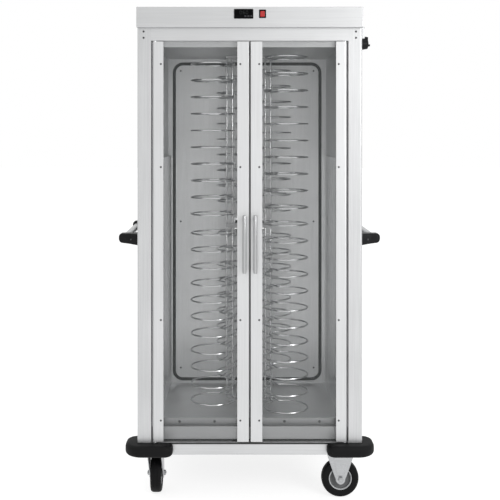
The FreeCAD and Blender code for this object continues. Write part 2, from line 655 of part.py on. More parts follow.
def fan_wheel(start):
    """A hub with flat blades set at a pitch, on the motor shaft."""
    wheel = prism(corners(s.hub_radius, 2 * s.fan_blades), "xz", 0, s.fan_width)
    bore = prism(corners(bore_radius(s.shaft_radius, s.shaft_clearance, 12), 12), "xz", 0, s.fan_width)
    reach = s.fan_width * 0.8
    blades = []
    for index in range(int(s.fan_blades)):
        blade = Part.makeBox(s.blade_thick, reach, s.fan_radius - s.hub_radius + s.blade_root,
                             Vector(-s.blade_thick / 2, -reach / 2, s.hub_radius - s.blade_root))
        blade.rotate(Vector(), Vector(0, 0, 1), s.blade_turn)
        blade.translate(Vector(0, s.fan_width / 2, 0))
        blade.rotate(Vector(), Vector(0, 1, 0), 360 / s.fan_blades * index)
        blades.append(blade)
    wheel = wheel.fuse(blades).cut(bore).removeSplitter()
    wheel.translate(Vector(s.fan_x, start, s.fan_level))
    node("fan_wheel", feature(wheel))


# ---------------------------------------------------------------- controls

def display():
    """The thermostat: a case through the cover's window, a rim outside it and three keys."""
    face = FRONT + " - cover_front"
    rim = box("display_x - display_width/2", face + " - bezel_thick", "control_level - display_height/2",
              "display_width", "bezel_thick", "display_height")
    case = box("display_x - display_width/2 + display_rim + window_play", face,
               "control_level - display_height/2 + display_rim + window_play",
               "display_width - 2*display_rim - 2*window_play", "display_body",
               "display_height - 2*display_rim - 2*window_play")
    pockets, keys = [], []
    proud = face + " - bezel_thick - key_proud"
    for index, label in enumerate(("down_key", "set_key", "up_key")):
        x, z = "display_x + key_start + key_pitch*%d" % index, "control_level - key_drop"
        pockets.append(box(x + " - key_gap", proud, z + " - key_gap", "key_width + 2*key_gap", "key_depth",
                           "key_height + 2*key_gap"))
        keys.append((label, box(x, proud, z, "key_width", "key_depth - key_travel - key_gap", "key_height")))
    node("thermostat_case", cut(fuse(rim, case), *pockets))
    for label, key in keys:
        node(label, key)


def switch():
    """A rocker switch: its case through the window and the rocker on a pivot in it."""
    y = front - s.cover_front
    half_x, half_z = s.switch_width / 2, s.switch_height / 2
    rim = Part.makeBox(s.switch_width, s.switch_proud, s.switch_height, Vector(-half_x, y - s.switch_proud, -half_z))
    inner_x, inner_z = half_x - s.switch_rim - s.window_play, half_z - s.switch_rim - s.window_play
    case = Part.makeBox(2 * inner_x, s.switch_body, 2 * inner_z, Vector(-inner_x, y, -inner_z))
    room_x, room_z = inner_x - s.switch_wall, inner_z - s.switch_wall
    room = Part.makeBox(2 * room_x, s.switch_proud + s.switch_room, 2 * room_z,
                        Vector(-room_x, y - s.switch_proud, -room_z))
    shell = rim.fuse(case).cut(room).removeSplitter()
    shell.translate(Vector(s.switch_x, 0, s.control_level))
    node("switch_case", feature(shell))
    reach = room_z - 3 * s.running_gap
    profile = [(y - 3.2, 0), (y - 4.2, reach), (y + 4, reach - 0.6), (y + 9, 2), (y + 9, -2),
               (y + 4, -reach + 0.6), (y - 4.2, -reach)]
    rocker = prism(profile, "yz", -room_x + s.running_gap, 2 * (room_x - s.running_gap))
    rocker.rotate(Vector(0, y + 1, 0), Vector(1, 0, 0), s.rocker_tilt)
    rocker.translate(Vector(s.switch_x, 0, s.control_level))
    node("rocker", feature(rocker))


def mains_inlet():
    """A round inlet on the right side with a hinged cap, below its cable duct."""
    side = s.body_width / 2 - s.pan_inset
    y, z = front + s.inlet_depth, s.inlet_level
    end = side + s.inlet_length
    half = s.inlet_plate / 2
    duct_foot = z + s.inlet_radius - s.cap_nub / 4
    duct_top = s.control_level - s.control_drop

    def bar(radius, start, length, sides=16, dy=0.0, dz=0.0):
        return prism(corners(radius, sides, y + dy, z + dz), "yz", start, length)

    plate = Part.makeBox(s.inlet_plate_thick, s.inlet_plate, s.inlet_plate, Vector(side, y - half, z - half))
    barrel = bar(s.inlet_radius, side, s.inlet_length)
    bore = bar(s.inlet_bore, side + s.inlet_floor, s.inlet_length - s.inlet_floor)
    duct = Part.makeBox(s.duct_deep, s.duct_width, duct_top - duct_foot,
                        Vector(side + s.pan_inset + s.cover_side, y - s.duct_width / 2, duct_foot))
    foot = Part.makeBox(s.inlet_plate_thick, s.duct_width, 12, Vector(side, y - s.duct_width / 2, duct_foot))
    pins = [bar(s.inlet_pin, side, s.inlet_length - 2 * s.inlet_pin_circle, 6,
                s.inlet_pin_circle * math.cos(math.radians(turn)), s.inlet_pin_circle * math.sin(math.radians(turn)))
            for turn in (90, 210, 330)]
    pivot_x, pivot_z = end - 2, z + s.inlet_radius + s.cap_pin_rise
    body = plate.fuse([barrel]).cut(bore).fuse([duct, foot] + pins)
    ears = [Part.makeBox(6, 3, 9, Vector(end - 6, y + offset, z + s.inlet_radius - 3)) for offset in (-9, 6)]
    pivot = prism(corners(s.cap_pin, 8, pivot_x, pivot_z), "xz", y - s.cap_pin_length / 2, s.cap_pin_length)
    node("inlet_case", feature(body.fuse(ears + [pivot]).removeSplitter()))
    start = end + s.running_gap
    width = s.cap_knuckle_width
    cap = bar(s.inlet_radius, start, s.cap_thick)
    knuckle = prism(corners(s.cap_knuckle, 12, pivot_x, pivot_z), "xz", y - width / 2, width)
    bridge = Part.makeBox(start + s.cap_thick - pivot_x, width, 4.2, Vector(pivot_x, y - width / 2, pivot_z - 2))
    tab = Part.makeBox(s.cap_thick, width, pivot_z + 2.2 - z - 10, Vector(start, y - width / 2, z + 10))
    nub = Part.makeBox(s.cap_nub, s.cap_nub_width, s.cap_nub,
                       Vector(start + s.cap_thick, y - s.cap_nub_width / 2, z - 8))
    hole = prism(corners(bore_radius(s.cap_pin, s.bore_clearance, 8), 8, pivot_x, pivot_z), "xz",
                 y - s.cap_pin_length, 2 * s.cap_pin_length)
    node("inlet_cap", feature(cap.fuse([knuckle, bridge, tab, nub]).cut(hole).removeSplitter()))


# ---------------------------------------------------------------- handles and bumpers

def push_handles():
    """A round bar on each side, held by two moulded brackets that slope up below."""
    side = s.body_width / 2 - s.pan_inset
    reach = s.body_width / 2 + s.push_reach
    foot, top = s.push_level - s.bracket_height / 2, s.push_level + s.bracket_height / 2
    brackets, faces = [], []
    centre = reach - s.bracket_width / 2 + 4
    half, base = s.bracket_width / 2, s.bracket_foot / 2
    for y, inward in ((front + s.push_front, 1), (-front - s.push_rear, -1)):
        plan = [(side, y - base), (side, y + base), (side + 8, y + base), (centre - 16, y + half),
                (reach, y + half), (reach, y - half), (centre - 16, y - half), (side + 8, y - base)]
        profile = [(side, foot), (side, top), (reach, top), (reach, foot + s.bracket_rise)]
        profile = eased(profile, [0, 0, s.bracket_round, s.bracket_round], 4)
        block = prism(profile, "xz", y - base, 2 * base)
        brackets.append(feature(block.common(prism(plan, "xy", foot, top - foot)).removeSplitter()))
        faces.append(y + inward * half)
    for bracket in list(brackets):
        brackets.append(mirrored(bracket))
    node("handle_brackets", *brackets)
    bar = feature(prism(corners(s.push_radius, s.bar_sides, centre, s.push_level), "xz", faces[0],
                        faces[1] - faces[0]))
    node("push_bars", bar, mirrored(bar))


def bumpers():
    """A fat buffer round each corner of the base, rounded in plan and bevelled at its rims."""
    x, y = -s.body_width / 2, front
    outer_x, outer_y = x - s.bumper_reach, y - s.bumper_reach
    far_x, far_y = x + s.bumper_leg, y + s.bumper_side_leg
    outline = [(x, far_y), (outer_x, far_y), (outer_x, outer_y), (far_x, outer_y), (far_x, y), (x, y)]
    full = eased(outline, [0, s.bumper_side_end, s.bumper_corner, s.bumper_end, 0, 0], 5)
    small = inset(full, [s.bumper_edge] * (len(full) - 2) + [0, 0])
    foot, top = s.bumper_foot, s.bumper_foot + s.bumper_height
    block = feature(layered([(small, foot), (full, foot + s.bumper_edge), (full, top - s.bumper_edge),
                             (small, top)]))
    pair = [block, mirrored(block)]
    node("bumpers", *pair, *[mirrored(one, "y") for one in pair])


# ---------------------------------------------------------------- doors

def door(name, side):
    """One door: two grooved stiles, a glass pane in them and a bar handle; side is -1 on the left."""
    opening = s.body_width / 2 - s.post_width
    outer, inner = opening - s.door_side_gap, s.door_gap / 2
    height, middle_y = s.door_top - s.door_foot, front + s.door_thick / 2
    slot = s.glass_thick + 2 * s.glass_play
    hinge_x = outer - s.hinge_inset
    socket = corners(bore_radius(s.pin_radius, s.pin_clearance, s.pin_sides), s.pin_sides, hinge_x, middle_y)
    stiles = []
    for edge, width, radius in ((outer, -s.outer_stile, s.stile_round), (inner, s.inner_stile, s.meeting_round)):
        seat = edge + width
        floor = seat - math.copysign(s.glass_grip, width)
        section = [(edge, front), (seat, front), (seat, middle_y - slot / 2), (floor, middle_y - slot / 2),
                   (floor, middle_y + slot / 2), (seat, middle_y + slot / 2), (seat, front + s.door_thick),
                   (edge, front + s.door_thick)]
        section = eased(section, [radius, 0, 0, 0, 0, 0, 0, radius], 4)
        stiles.append(prism(section, "xy", s.door_foot, height))
    for start in (s.door_foot, s.door_top - s.pin_reach):
        stiles[0] = stiles[0].cut(prism(socket, "xy", start, s.pin_reach))
    pane_low = inner + s.inner_stile - s.glass_grip + s.running_gap
    pane_high = outer - s.outer_stile + s.glass_grip - s.running_gap
    pane = Part.makeBox(pane_high - pane_low, s.glass_thick, height - 2 * s.glass_short,
                        Vector(pane_low, middle_y - s.glass_thick / 2, s.door_foot + s.glass_short))
    bar_y = front - s.handle_standoff
    bar = prism(corners(s.handle_radius, s.bar_sides, s.handle_x, bar_y), "xy", s.handle_foot, s.handle_length)
    legs = [prism(corners(s.handle_leg_radius, s.handle_leg_sides, s.handle_x, s.handle_foot + level), "xz",
                  bar_y, s.handle_standoff)
            for level in (s.handle_leg, s.handle_length - s.handle_leg)]
    handle = bar.fuse(legs).removeSplitter()
    for label, shapes in (("stiles", stiles), ("glass", [pane]), ("handle", [handle])):
        made = [feature(shape) for shape in shapes]
        if side < 0:
            made = [mirrored(one) for one in made]
        node("%s_door_%s" % (name, label), *made)


def hinge_pins():
    """Pivot pins under and over the outer stiles, each with a washer that carries the door."""
    x = "body_width/2 - post_width - door_side_gap - hinge_inset"
    y = FRONT + " + door_thick/2"
    low = fuse(polygon_bar(x, y, "pan_top", "pin_radius", "door_foot_gap + pin_reach - 1", "pin_sides"),
               polygon_bar(x, y, "pan_top", "washer_radius", "door_foot_gap - running_gap", "rod_sides"))
    high = fuse(polygon_bar(x, y, "door_top - pin_reach + 1", "pin_radius", "door_head_gap + pin_reach - 1",
                            "pin_sides"),
                polygon_bar(x, y, "door_top + running_gap", "washer_radius", "door_head_gap - running_gap",
                            "rod_sides"))
    node("hinge_pins", low, high, mirrored(low), mirrored(high))


def door_catches():
    """Magnet catches under the lintel, just behind the free stile of each door."""
    catch = box("inner_stile/2 - catch_width/2", FRONT + " + door_thick + running_gap",
                "lintel_foot - catch_height", "catch_width", "liner_front - door_thick - running_gap",
                "catch_height")
    node("door_catches", catch, mirrored(catch))


# ---------------------------------------------------------------- casters

def caster_plates():
    """Fixing plates under the base; the left pair carries the swivel heads and kingpins."""
    top = "rail_foot - plate_thick"
    plates = []
    for y in ("-caster_y", "caster_y"):
        plates.append(box("right_caster - fixed_plate/2", y + " - plate_width/2", top,
                          "fixed_plate", "plate_width", "plate_thick"))
        plate = box("-left_caster - plate_length/2", y + " - plate_width/2", top,
                    "plate_length", "plate_width", "plate_thick")
        head = polygon_bar("-left_caster", y, top + " - swivel_height", "swivel_radius", "swivel_height",
                           "swivel_sides")
        pin_length = "swivel_height + running_gap + 3*fork_thick"
        pin = polygon_bar("-left_caster", y, "%s - (%s)" % (top, pin_length), "kingpin_radius", pin_length,
                          "axle_sides")
        plates.append(fuse(plate, head, pin))
    node("caster_plates", *plates)


def fork_cheeks(plane, top, lean):
    """Two side plates that taper from the top to a round foot about the axle, which trails by lean."""
    low = s.wheel_radius
    half_top, half_foot = s.fork_top / 2, s.fork_foot / 2
    foot = [(half_foot, 0), (half_foot * 0.8, -0.6 * half_foot), (half_foot * 0.35, -half_foot)]
    outline = [(-half_top, top), (half_top, top), (half_top, top - s.fork_shoulder)]
    outline += [(lean + across, low + up) for across, up in foot]
    outline += [(lean - across, low + up) for across, up in reversed(foot)]
    outline.append((-half_top, top - s.fork_shoulder))
    return [prism(outline, plane, start, s.fork_thick) for start in (-s.fork_inside - s.fork_thick, s.fork_inside)]


def pressed_ribs(top):
    """The raised middle of each cheek, from the crown to just over the axle nut."""
    half_top, half_foot = s.fork_rib / 2, s.nut_radius
    foot = s.wheel_radius + 1.3 * s.nut_radius
    outline = [(-half_top, top), (half_top, top), (half_foot, foot), (-half_foot, foot)]
    outside = s.fork_inside + s.fork_thick
    return [prism(outline, "xz", start, s.fork_rib_thick) for start in (-outside - s.fork_rib_thick, outside)]


def axle(axis, nut):
    """A bolt with a six-sided head and nut outside the fork."""
    grip = s.fork_inside + s.fork_thick
    length = 2 * (grip + nut)
    bolt = prism(corners(s.axle_radius, s.axle_sides), "xy", -length / 2, length)
    ends = [prism(corners(s.nut_radius, 6), "xy", start, nut * 0.8) for start in (-grip - nut * 0.8, grip)]
    made = bolt.fuse(ends).removeSplitter()
    made.rotate(Vector(), Vector(0, 1, 0) if axis == "x" else Vector(1, 0, 0), 90)
    made.translate(Vector(0, 0, s.wheel_radius))
    return made


def fixed_forks():
    """The right pair: rigid forks whose wheels roll along X."""
    forks, axles = [], []
    top = s.rail_foot - s.plate_thick
    pin = axle("y", s.axle_nut)
    outside = s.fork_inside + s.fork_thick
    for y in (-s.caster_y, s.caster_y):
        crown = Part.makeBox(s.fork_top, 2 * outside, s.fork_thick,
                             Vector(-s.fork_top / 2, -outside, top - s.fork_thick))
        sides = fork_cheeks("xz", top - s.fork_thick, 0) + pressed_ribs(top - 2 * s.fork_thick)
        fork = crown.fuse(sides).cut(pin).removeSplitter()
        fork.translate(Vector(s.right_caster, y, 0))
        forks.append(feature(fork))
        bolt = pin.copy()
        bolt.translate(Vector(s.right_caster, y, 0))
        axles.append(feature(bolt))
    node("fixed_forks", *forks)
    node("fixed_axles", *axles)


def swivel_fork(name, y):
    """A fork that turns about the kingpin and trails its wheel towards the back."""
    crown_top = s.rail_foot - s.plate_thick - s.swivel_height - s.running_gap
    pin = axle("x", s.axle_nut)
    pin.translate(Vector(0, s.caster_trail, 0))
    cheeks = fork_cheeks("yz", crown_top - 2 * s.fork_thick, s.caster_trail)
    outside = s.fork_inside + s.fork_thick
    crown = Part.makeBox(2 * outside, s.fork_top, 2 * s.fork_thick,
                         Vector(-outside, -s.fork_top / 2, crown_top - 2 * s.fork_thick))
    bore = prism(corners(bore_radius(s.kingpin_radius, s.kingpin_clearance, s.axle_sides), s.axle_sides), "xy",
                 crown_top - 4 * s.fork_thick, 8 * s.fork_thick)
    race = prism(corners(s.swivel_radius - s.fork_thick * 2, s.swivel_sides), "xy", crown_top - s.fork_thick,
                 s.fork_thick)
    pivot = prism(corners(s.brake_pin, s.axle_sides, s.caster_trail, s.brake_pivot), "yz", -outside, 2 * outside)
    fork = crown.fuse([race, pivot] + cheeks).cut(bore).cut(pin).removeSplitter()
    for label, shape in (("fork", fork), ("axle", pin), ("brake", brake_pedal())):
        moved = shape.copy()
        moved.translate(Vector(-s.left_caster, y, 0))
        node("%s_%s" % (name, label), feature(moved))


def brake_pedal():
    """A foot lever over the wheel, hung on the fork between its cheeks."""
    half = s.fork_inside - 1
    near, pivot = s.caster_trail, s.brake_pivot
    outline = [(near, pivot - 4), (near + 30, pivot - 6), (near + 52, pivot - 26),
               (near + 57, pivot - 23), (near + 34, pivot + 2), (near, pivot + 4)]
    lever = prism(outline, "yz", -half, 2 * half)
    hub = prism(corners(s.brake_hub, s.axle_sides, near, pivot), "yz", -half, 2 * half)
    bore = prism(corners(bore_radius(s.brake_pin, s.pin_clearance, s.axle_sides), s.axle_sides, near, pivot),
                 "yz", -half - 1, 2 * half + 2)
    return lever.fuse(hub).cut(bore).removeSplitter()


def wheel(name, x, y, axis):
    """A tyre on a webbed rim that turns on the axle, with a flat of its tread on the floor."""
    across = {"x": Rotation(Vector(0, 1, 0), 90), "y": Rotation(Vector(1, 0, 0), 90)}[axis]
    spot = Vector(x, y, s.wheel_radius)
    half, shoulder = s.tyre_width / 2, s.tyre_shoulder
    seat = prism(corners(s.rim_radius, s.rim_sides), "xy", -half, s.tyre_width)
    around = 1 / math.cos(math.pi / s.tyre_sides)
    small = corners((s.wheel_radius - shoulder) * around, s.tyre_sides)
    full = corners(s.wheel_radius * around, s.tyre_sides)
    tread = layered([(small, -half), (full, shoulder - half), (full, half - shoulder), (small, half)])
    tread.rotate(Vector(), Vector(0, 0, 1), 180 / s.tyre_sides)
    core = prism(corners(s.rim_radius, s.rim_sides), "xy", -s.rim_width / 2, s.rim_width)
    pocket_depth = (s.rim_width - s.web_thick) / 2
    for start in (-s.rim_width / 2, s.web_thick / 2):
        core = core.cut(prism(corners(s.rim_radius - s.rim_lip, s.rim_sides / 2), "xy", start, pocket_depth))
    core = core.fuse(prism(corners(s.wheel_hub, s.axle_sides), "xy", -s.hub_width / 2, s.hub_width))
    hole = corners(bore_radius(s.axle_radius, s.bore_clearance, s.axle_sides), s.axle_sides)
    core = core.cut(prism(hole, "xy", -s.hub_width, 2 * s.hub_width))
    for label, shape in (("tyre", tread.cut(seat)), ("wheel", core)):
        made = shape.removeSplitter()
        made.Placement = Placement(spot, across)
        node("%s_%s" % (name, label), feature(made))


def casters():
    caster_plates()
    fixed_forks()
    for name, y in (("left_front", -s.caster_y), ("left_rear", s.caster_y)):
        swivel_fork(name, y)
        wheel(name, -s.left_caster, y + s.caster_trail, "x")
    for name, y in (("right_front", -s.caster_y), ("right_rear", s.caster_y)):
        wheel(name, s.right_caster, y, "y")


def check():
    """Stop if an object failed or a sub-part is empty or not valid."""
    for thing in doc.Objects:
        if "Invalid" in thing.State or "Error" in thing.State:
            raise RuntimeError("failed: %s" % thing.Label)
    for thing in nodes:
        if thing.Shape.isNull() or not thing.Shape.isValid() or not thing.Shape.Solids:
            raise RuntimeError("no valid shape: %s" % thing.Label)


def build():
    base_rails()
    cabinet_shell()
    front_rails()
    top_cover()
    liner()
    gasket()
    duct_covers()
    frame_screws()
    racks()
    air_heater()
    display()
    switch()
    mains_inlet()
    push_handles()
    bumpers()
    door("left", -1)
    door("right", 1)
    hinge_pins()
    door_catches()
    casters()
    doc.recompute()
    check()
    os.makedirs("parts", exist_ok=True)
    for thing in nodes:
        thing.Shape.exportStep("parts/%s.step" % thing.Label)


build()
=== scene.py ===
"""Looks of the heated plate trolley: finishes, smooth wire racks, moulded parts, casters and light.

Lengths are in millimetres here and become metres when a piece is made.
"""
import math

import bmesh
import bpy
import numpy as np
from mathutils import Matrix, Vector


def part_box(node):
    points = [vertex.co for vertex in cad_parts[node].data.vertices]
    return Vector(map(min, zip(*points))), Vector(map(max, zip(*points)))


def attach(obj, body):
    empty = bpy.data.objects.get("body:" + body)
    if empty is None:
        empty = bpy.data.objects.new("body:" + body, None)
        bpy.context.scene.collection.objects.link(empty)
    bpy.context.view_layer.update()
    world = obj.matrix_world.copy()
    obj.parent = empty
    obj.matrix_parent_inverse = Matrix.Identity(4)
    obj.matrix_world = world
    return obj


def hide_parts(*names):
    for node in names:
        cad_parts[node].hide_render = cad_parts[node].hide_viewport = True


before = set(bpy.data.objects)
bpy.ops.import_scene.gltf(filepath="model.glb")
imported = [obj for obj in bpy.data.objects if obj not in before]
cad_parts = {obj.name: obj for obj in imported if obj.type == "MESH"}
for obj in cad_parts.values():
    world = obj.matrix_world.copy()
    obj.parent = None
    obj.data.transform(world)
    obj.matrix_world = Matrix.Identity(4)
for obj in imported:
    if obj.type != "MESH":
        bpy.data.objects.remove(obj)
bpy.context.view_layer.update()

MM = 0.001
TAU = 2 * math.pi
QUARTER = TAU / 4
SHARP = math.radians(35)

# Faces of the cabinet: front, back, side panel, and half its width over the posts
FRONT, BACK, SIDE, HALF_WIDTH = -310.0, 310.0, 374.0, 375.0


# ---------------------------------------- surfaces

def object_from(name, points, faces):
    """A mesh object with outward faces, smooth but for edges that turn by more than 35 degrees."""
    mesh = bpy.data.meshes.new(name)
    mesh.from_pydata(np.asarray(points, float).tolist(), [], faces)
    mesh.validate()
    shaping = bmesh.new()
    shaping.from_mesh(mesh)
    bmesh.ops.recalc_face_normals(shaping, faces=shaping.faces)
    shaping.to_mesh(mesh)
    shaping.free()
    mesh.polygons.foreach_set("use_smooth", np.ones(len(mesh.polygons), bool))
    mesh.set_sharp_from_angle(angle=SHARP)
    mesh.update()
    made = bpy.data.objects.new(name, mesh)
    bpy.context.scene.collection.objects.link(made)
    return made


def grid_faces(rows, columns, wrap_rows=False, wrap_columns=True):
    """Quads of a grid of points numbered row by row, closed round the ways that wrap."""
    row = np.arange(rows if wrap_rows else rows - 1)
    column = np.arange(columns if wrap_columns else columns - 1)
    r, c = np.meshgrid(row, column, indexing="ij")
    r1, c1 = (r + 1) % rows, (c + 1) % columns
    quads = np.stack([r * columns + c, r * columns + c1, r1 * columns + c1, r1 * columns + c], -1)
    return quads.reshape(-1, 4).tolist()


def merge(parts):
    """One array of points and one list of faces from several."""
    points, faces, start = [], [], 0
    for part_points, part_faces in parts:
        points.append(np.asarray(part_points, float))
        faces.extend([[index + start for index in face] for face in part_faces])
        start += len(part_points)
    return np.concatenate(points), faces


def moved(part, shift=(0, 0, 0), flip=(1, 1, 1)):
    """A part mirrored by signs along each axis and then shifted."""
    points, faces = part
    return np.asarray(points) * np.asarray(flip, float) + np.asarray(shift, float), faces


def loft(rows, first=True, last=True):
    """A skin through rows of points, each row closed round, with flat ends where asked."""
    rows = np.asarray(rows, float)
    levels, count = rows.shape[:2]
    faces = grid_faces(levels, count)
    if first:
        faces.append(list(range(count))[::-1])
    if last:
        faces.append([(levels - 1) * count + index for index in range(count)])
    return rows.reshape(-1, 3), faces


def tube(path, radius, sides=10, closed=False):
    """A round bar along a path: at each point a circle of the radius stands across the way there.

    The frame across the path is carried along by projecting the last one, so it doesn't twist.
    """
    path = np.asarray(path, float)
    if closed:
        ways = np.roll(path, -1, 0) - np.roll(path, 1, 0)
    else:
        ways = np.gradient(path, axis=0)
    ways /= np.linalg.norm(ways, axis=1)[:, None]
    up = np.array([0.0, 0.0, 1.0]) if abs(ways[0][2]) < 0.9 else np.array([0.0, 1.0, 0.0])
    sides_way = []
    for way in ways:
        up = up - way * up.dot(way)
        up = up / np.linalg.norm(up)
        sides_way.append(up)
    first = np.array(sides_way)
    second = np.cross(ways, first)
    angle = np.linspace(0, TAU, sides, endpoint=False)
    rings = (path[:, None] + radius * (np.cos(angle)[None, :, None] * first[:, None]
                                      + np.sin(angle)[None, :, None] * second[:, None]))
    points = rings.reshape(-1, 3)
    faces = grid_faces(len(path), sides, wrap_rows=closed)
    if not closed:
        faces.append(list(range(sides))[::-1])
        faces.append([(len(path) - 1) * sides + index for index in range(sides)])
    return points, faces


def lathe(profile, axis, centre, steps=64):
    """A profile of (radius, height) turned about an axis: u = r cos t, v = r sin t, w = height."""
    profile = np.asarray(profile, float)
    angle = np.linspace(0, TAU, steps, endpoint=False)
    radius, height = profile[:, 0][:, None], profile[:, 1][:, None]
    local = np.stack([radius * np.cos(angle), radius * np.sin(angle),
                      np.broadcast_to(height, (len(profile), steps))], -1)
    order = {"x": [2, 0, 1], "y": [1, 2, 0], "z": [0, 1, 2]}[axis]
    rows = local[..., order] + np.asarray(centre, float)
    closed = np.allclose(profile[0], profile[-1])
    return loft(rows, first=not closed, last=not closed)


def round_bar(start, end, radius, rim=0.0, sides=32):
    """A straight bar between two points, its ends rolled over by the rim."""
    start, end = np.asarray(start, float), np.asarray(end, float)
    length = np.linalg.norm(end - start)
    axis = "xyz"[int(np.argmax(abs(end - start)))]
    turn = np.linspace(0, QUARTER, 4) if rim else np.array([QUARTER])
    inset, rise = rim * (1 - np.sin(turn)), rim * (1 - np.cos(turn))
    profile = np.column_stack([radius - inset, rise])
    profile = np.concatenate([profile, [[radius, length / 2]], (profile * [1, -1] + [0, length])[::-1]])
    return lathe(profile, axis, np.minimum(start, end), sides)


def soft_box(low, high, radius, windows=(), steps=3):
    """A box with rolled edges: each point of its grid stands at the radius from the inner box.

    The inner box reaches from low + r to high - r.  A window is (x0, x1, z0, z1) left open in
    the front face.
    """
    low, high = np.asarray(low, float), np.asarray(high, float)
    turn = radius * np.tan(np.linspace(0, TAU / 8, steps))
    extra = {0: [edge for window in windows for edge in window[:2]], 1: [],
             2: [edge for window in windows for edge in window[2:]]}
    knots = []
    for axis in range(3):
        guard = min(0.4 * radius, 0.2 * (high[axis] - low[axis] - 2 * radius))
        inner = [low[axis] + radius + guard, high[axis] - radius - guard]
        knots.append(np.unique(np.concatenate([low[axis] + radius - turn, inner, extra[axis],
                                               high[axis] - radius + turn])))
    points, faces, start = [], [], 0
    for axis in range(3):
        one, two = (axis + 1) % 3, (axis + 2) % 3
        u, v = np.meshgrid(knots[one], knots[two], indexing="ij")
        for level in (low[axis], high[axis]):
            grid = np.empty(u.shape + (3,))
            grid[..., axis], grid[..., one], grid[..., two] = level, u, v
            quads = grid_faces(*u.shape, wrap_columns=False)
            if axis == 1 and level == low[1] and windows:
                middles = grid.reshape(-1, 3)[np.array(quads)].mean(1)
                shut = np.ones(len(quads), bool)
                for x0, x1, z0, z1 in windows:
                    shut &= ~((middles[:, 0] > x0) & (middles[:, 0] < x1)
                              & (middles[:, 2] > z0) & (middles[:, 2] < z1))
                quads = np.array(quads)[shut].tolist()
            points.append(grid.reshape(-1, 3))
            faces.extend([[index + start for index in quad] for quad in quads])
            start += u.size
    points = np.concatenate(points)
    inner = np.clip(points, low + radius, high - radius)
    away = points - inner
    points = inner + radius * away / np.linalg.norm(away, axis=1)[:, None]
    kept, index = np.unique(np.round(points, 5), axis=0, return_inverse=True)
    index = index.ravel()
    return kept, [[int(index[corner]) for corner in face] for face in faces]


def rounded_rectangle(half_u, half_v, radius, steps=8):
    """Points round a rectangle with quarter circles at its corners, anticlockwise."""
    parts = []
    for corner, (su, sv) in enumerate(((1, 1), (-1, 1), (-1, -1), (1, -1))):
        angle = np.linspace(0, QUARTER, steps) + corner * QUARTER
        parts.append(np.stack([su * (half_u - radius) + radius * np.cos(angle),
                               sv * (half_v - radius) + radius * np.sin(angle)], -1))
    return np.concatenate(parts)


def rolled_levels(foot, top, radius, steps=5):
    """Pairs (inset, level) from an underside over two rims, each a quarter circle, to the top."""
    turn = np.linspace(0, QUARTER, steps)
    rim = np.column_stack([radius * (1 - np.sin(turn)), radius * (1 - np.cos(turn))])
    rim = np.concatenate([[[1.4 * radius, 0]], rim, [[0, 1.2 * radius]]])
    return np.concatenate([rim + [0, foot], (rim * [1, -1] + [0, top])[::-1]])


def piece(name, parts, material, body, nodes=()):
    """Finish a made surface: millimetres to metres, material, body and replaced nodes."""
    points, faces = merge(parts)
    made = object_from(name, points * MM, faces)
    made.data.materials.append(material)
    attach(made, body)
    if nodes:
        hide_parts(*nodes)
    return made


# ---------------------------------------- materials

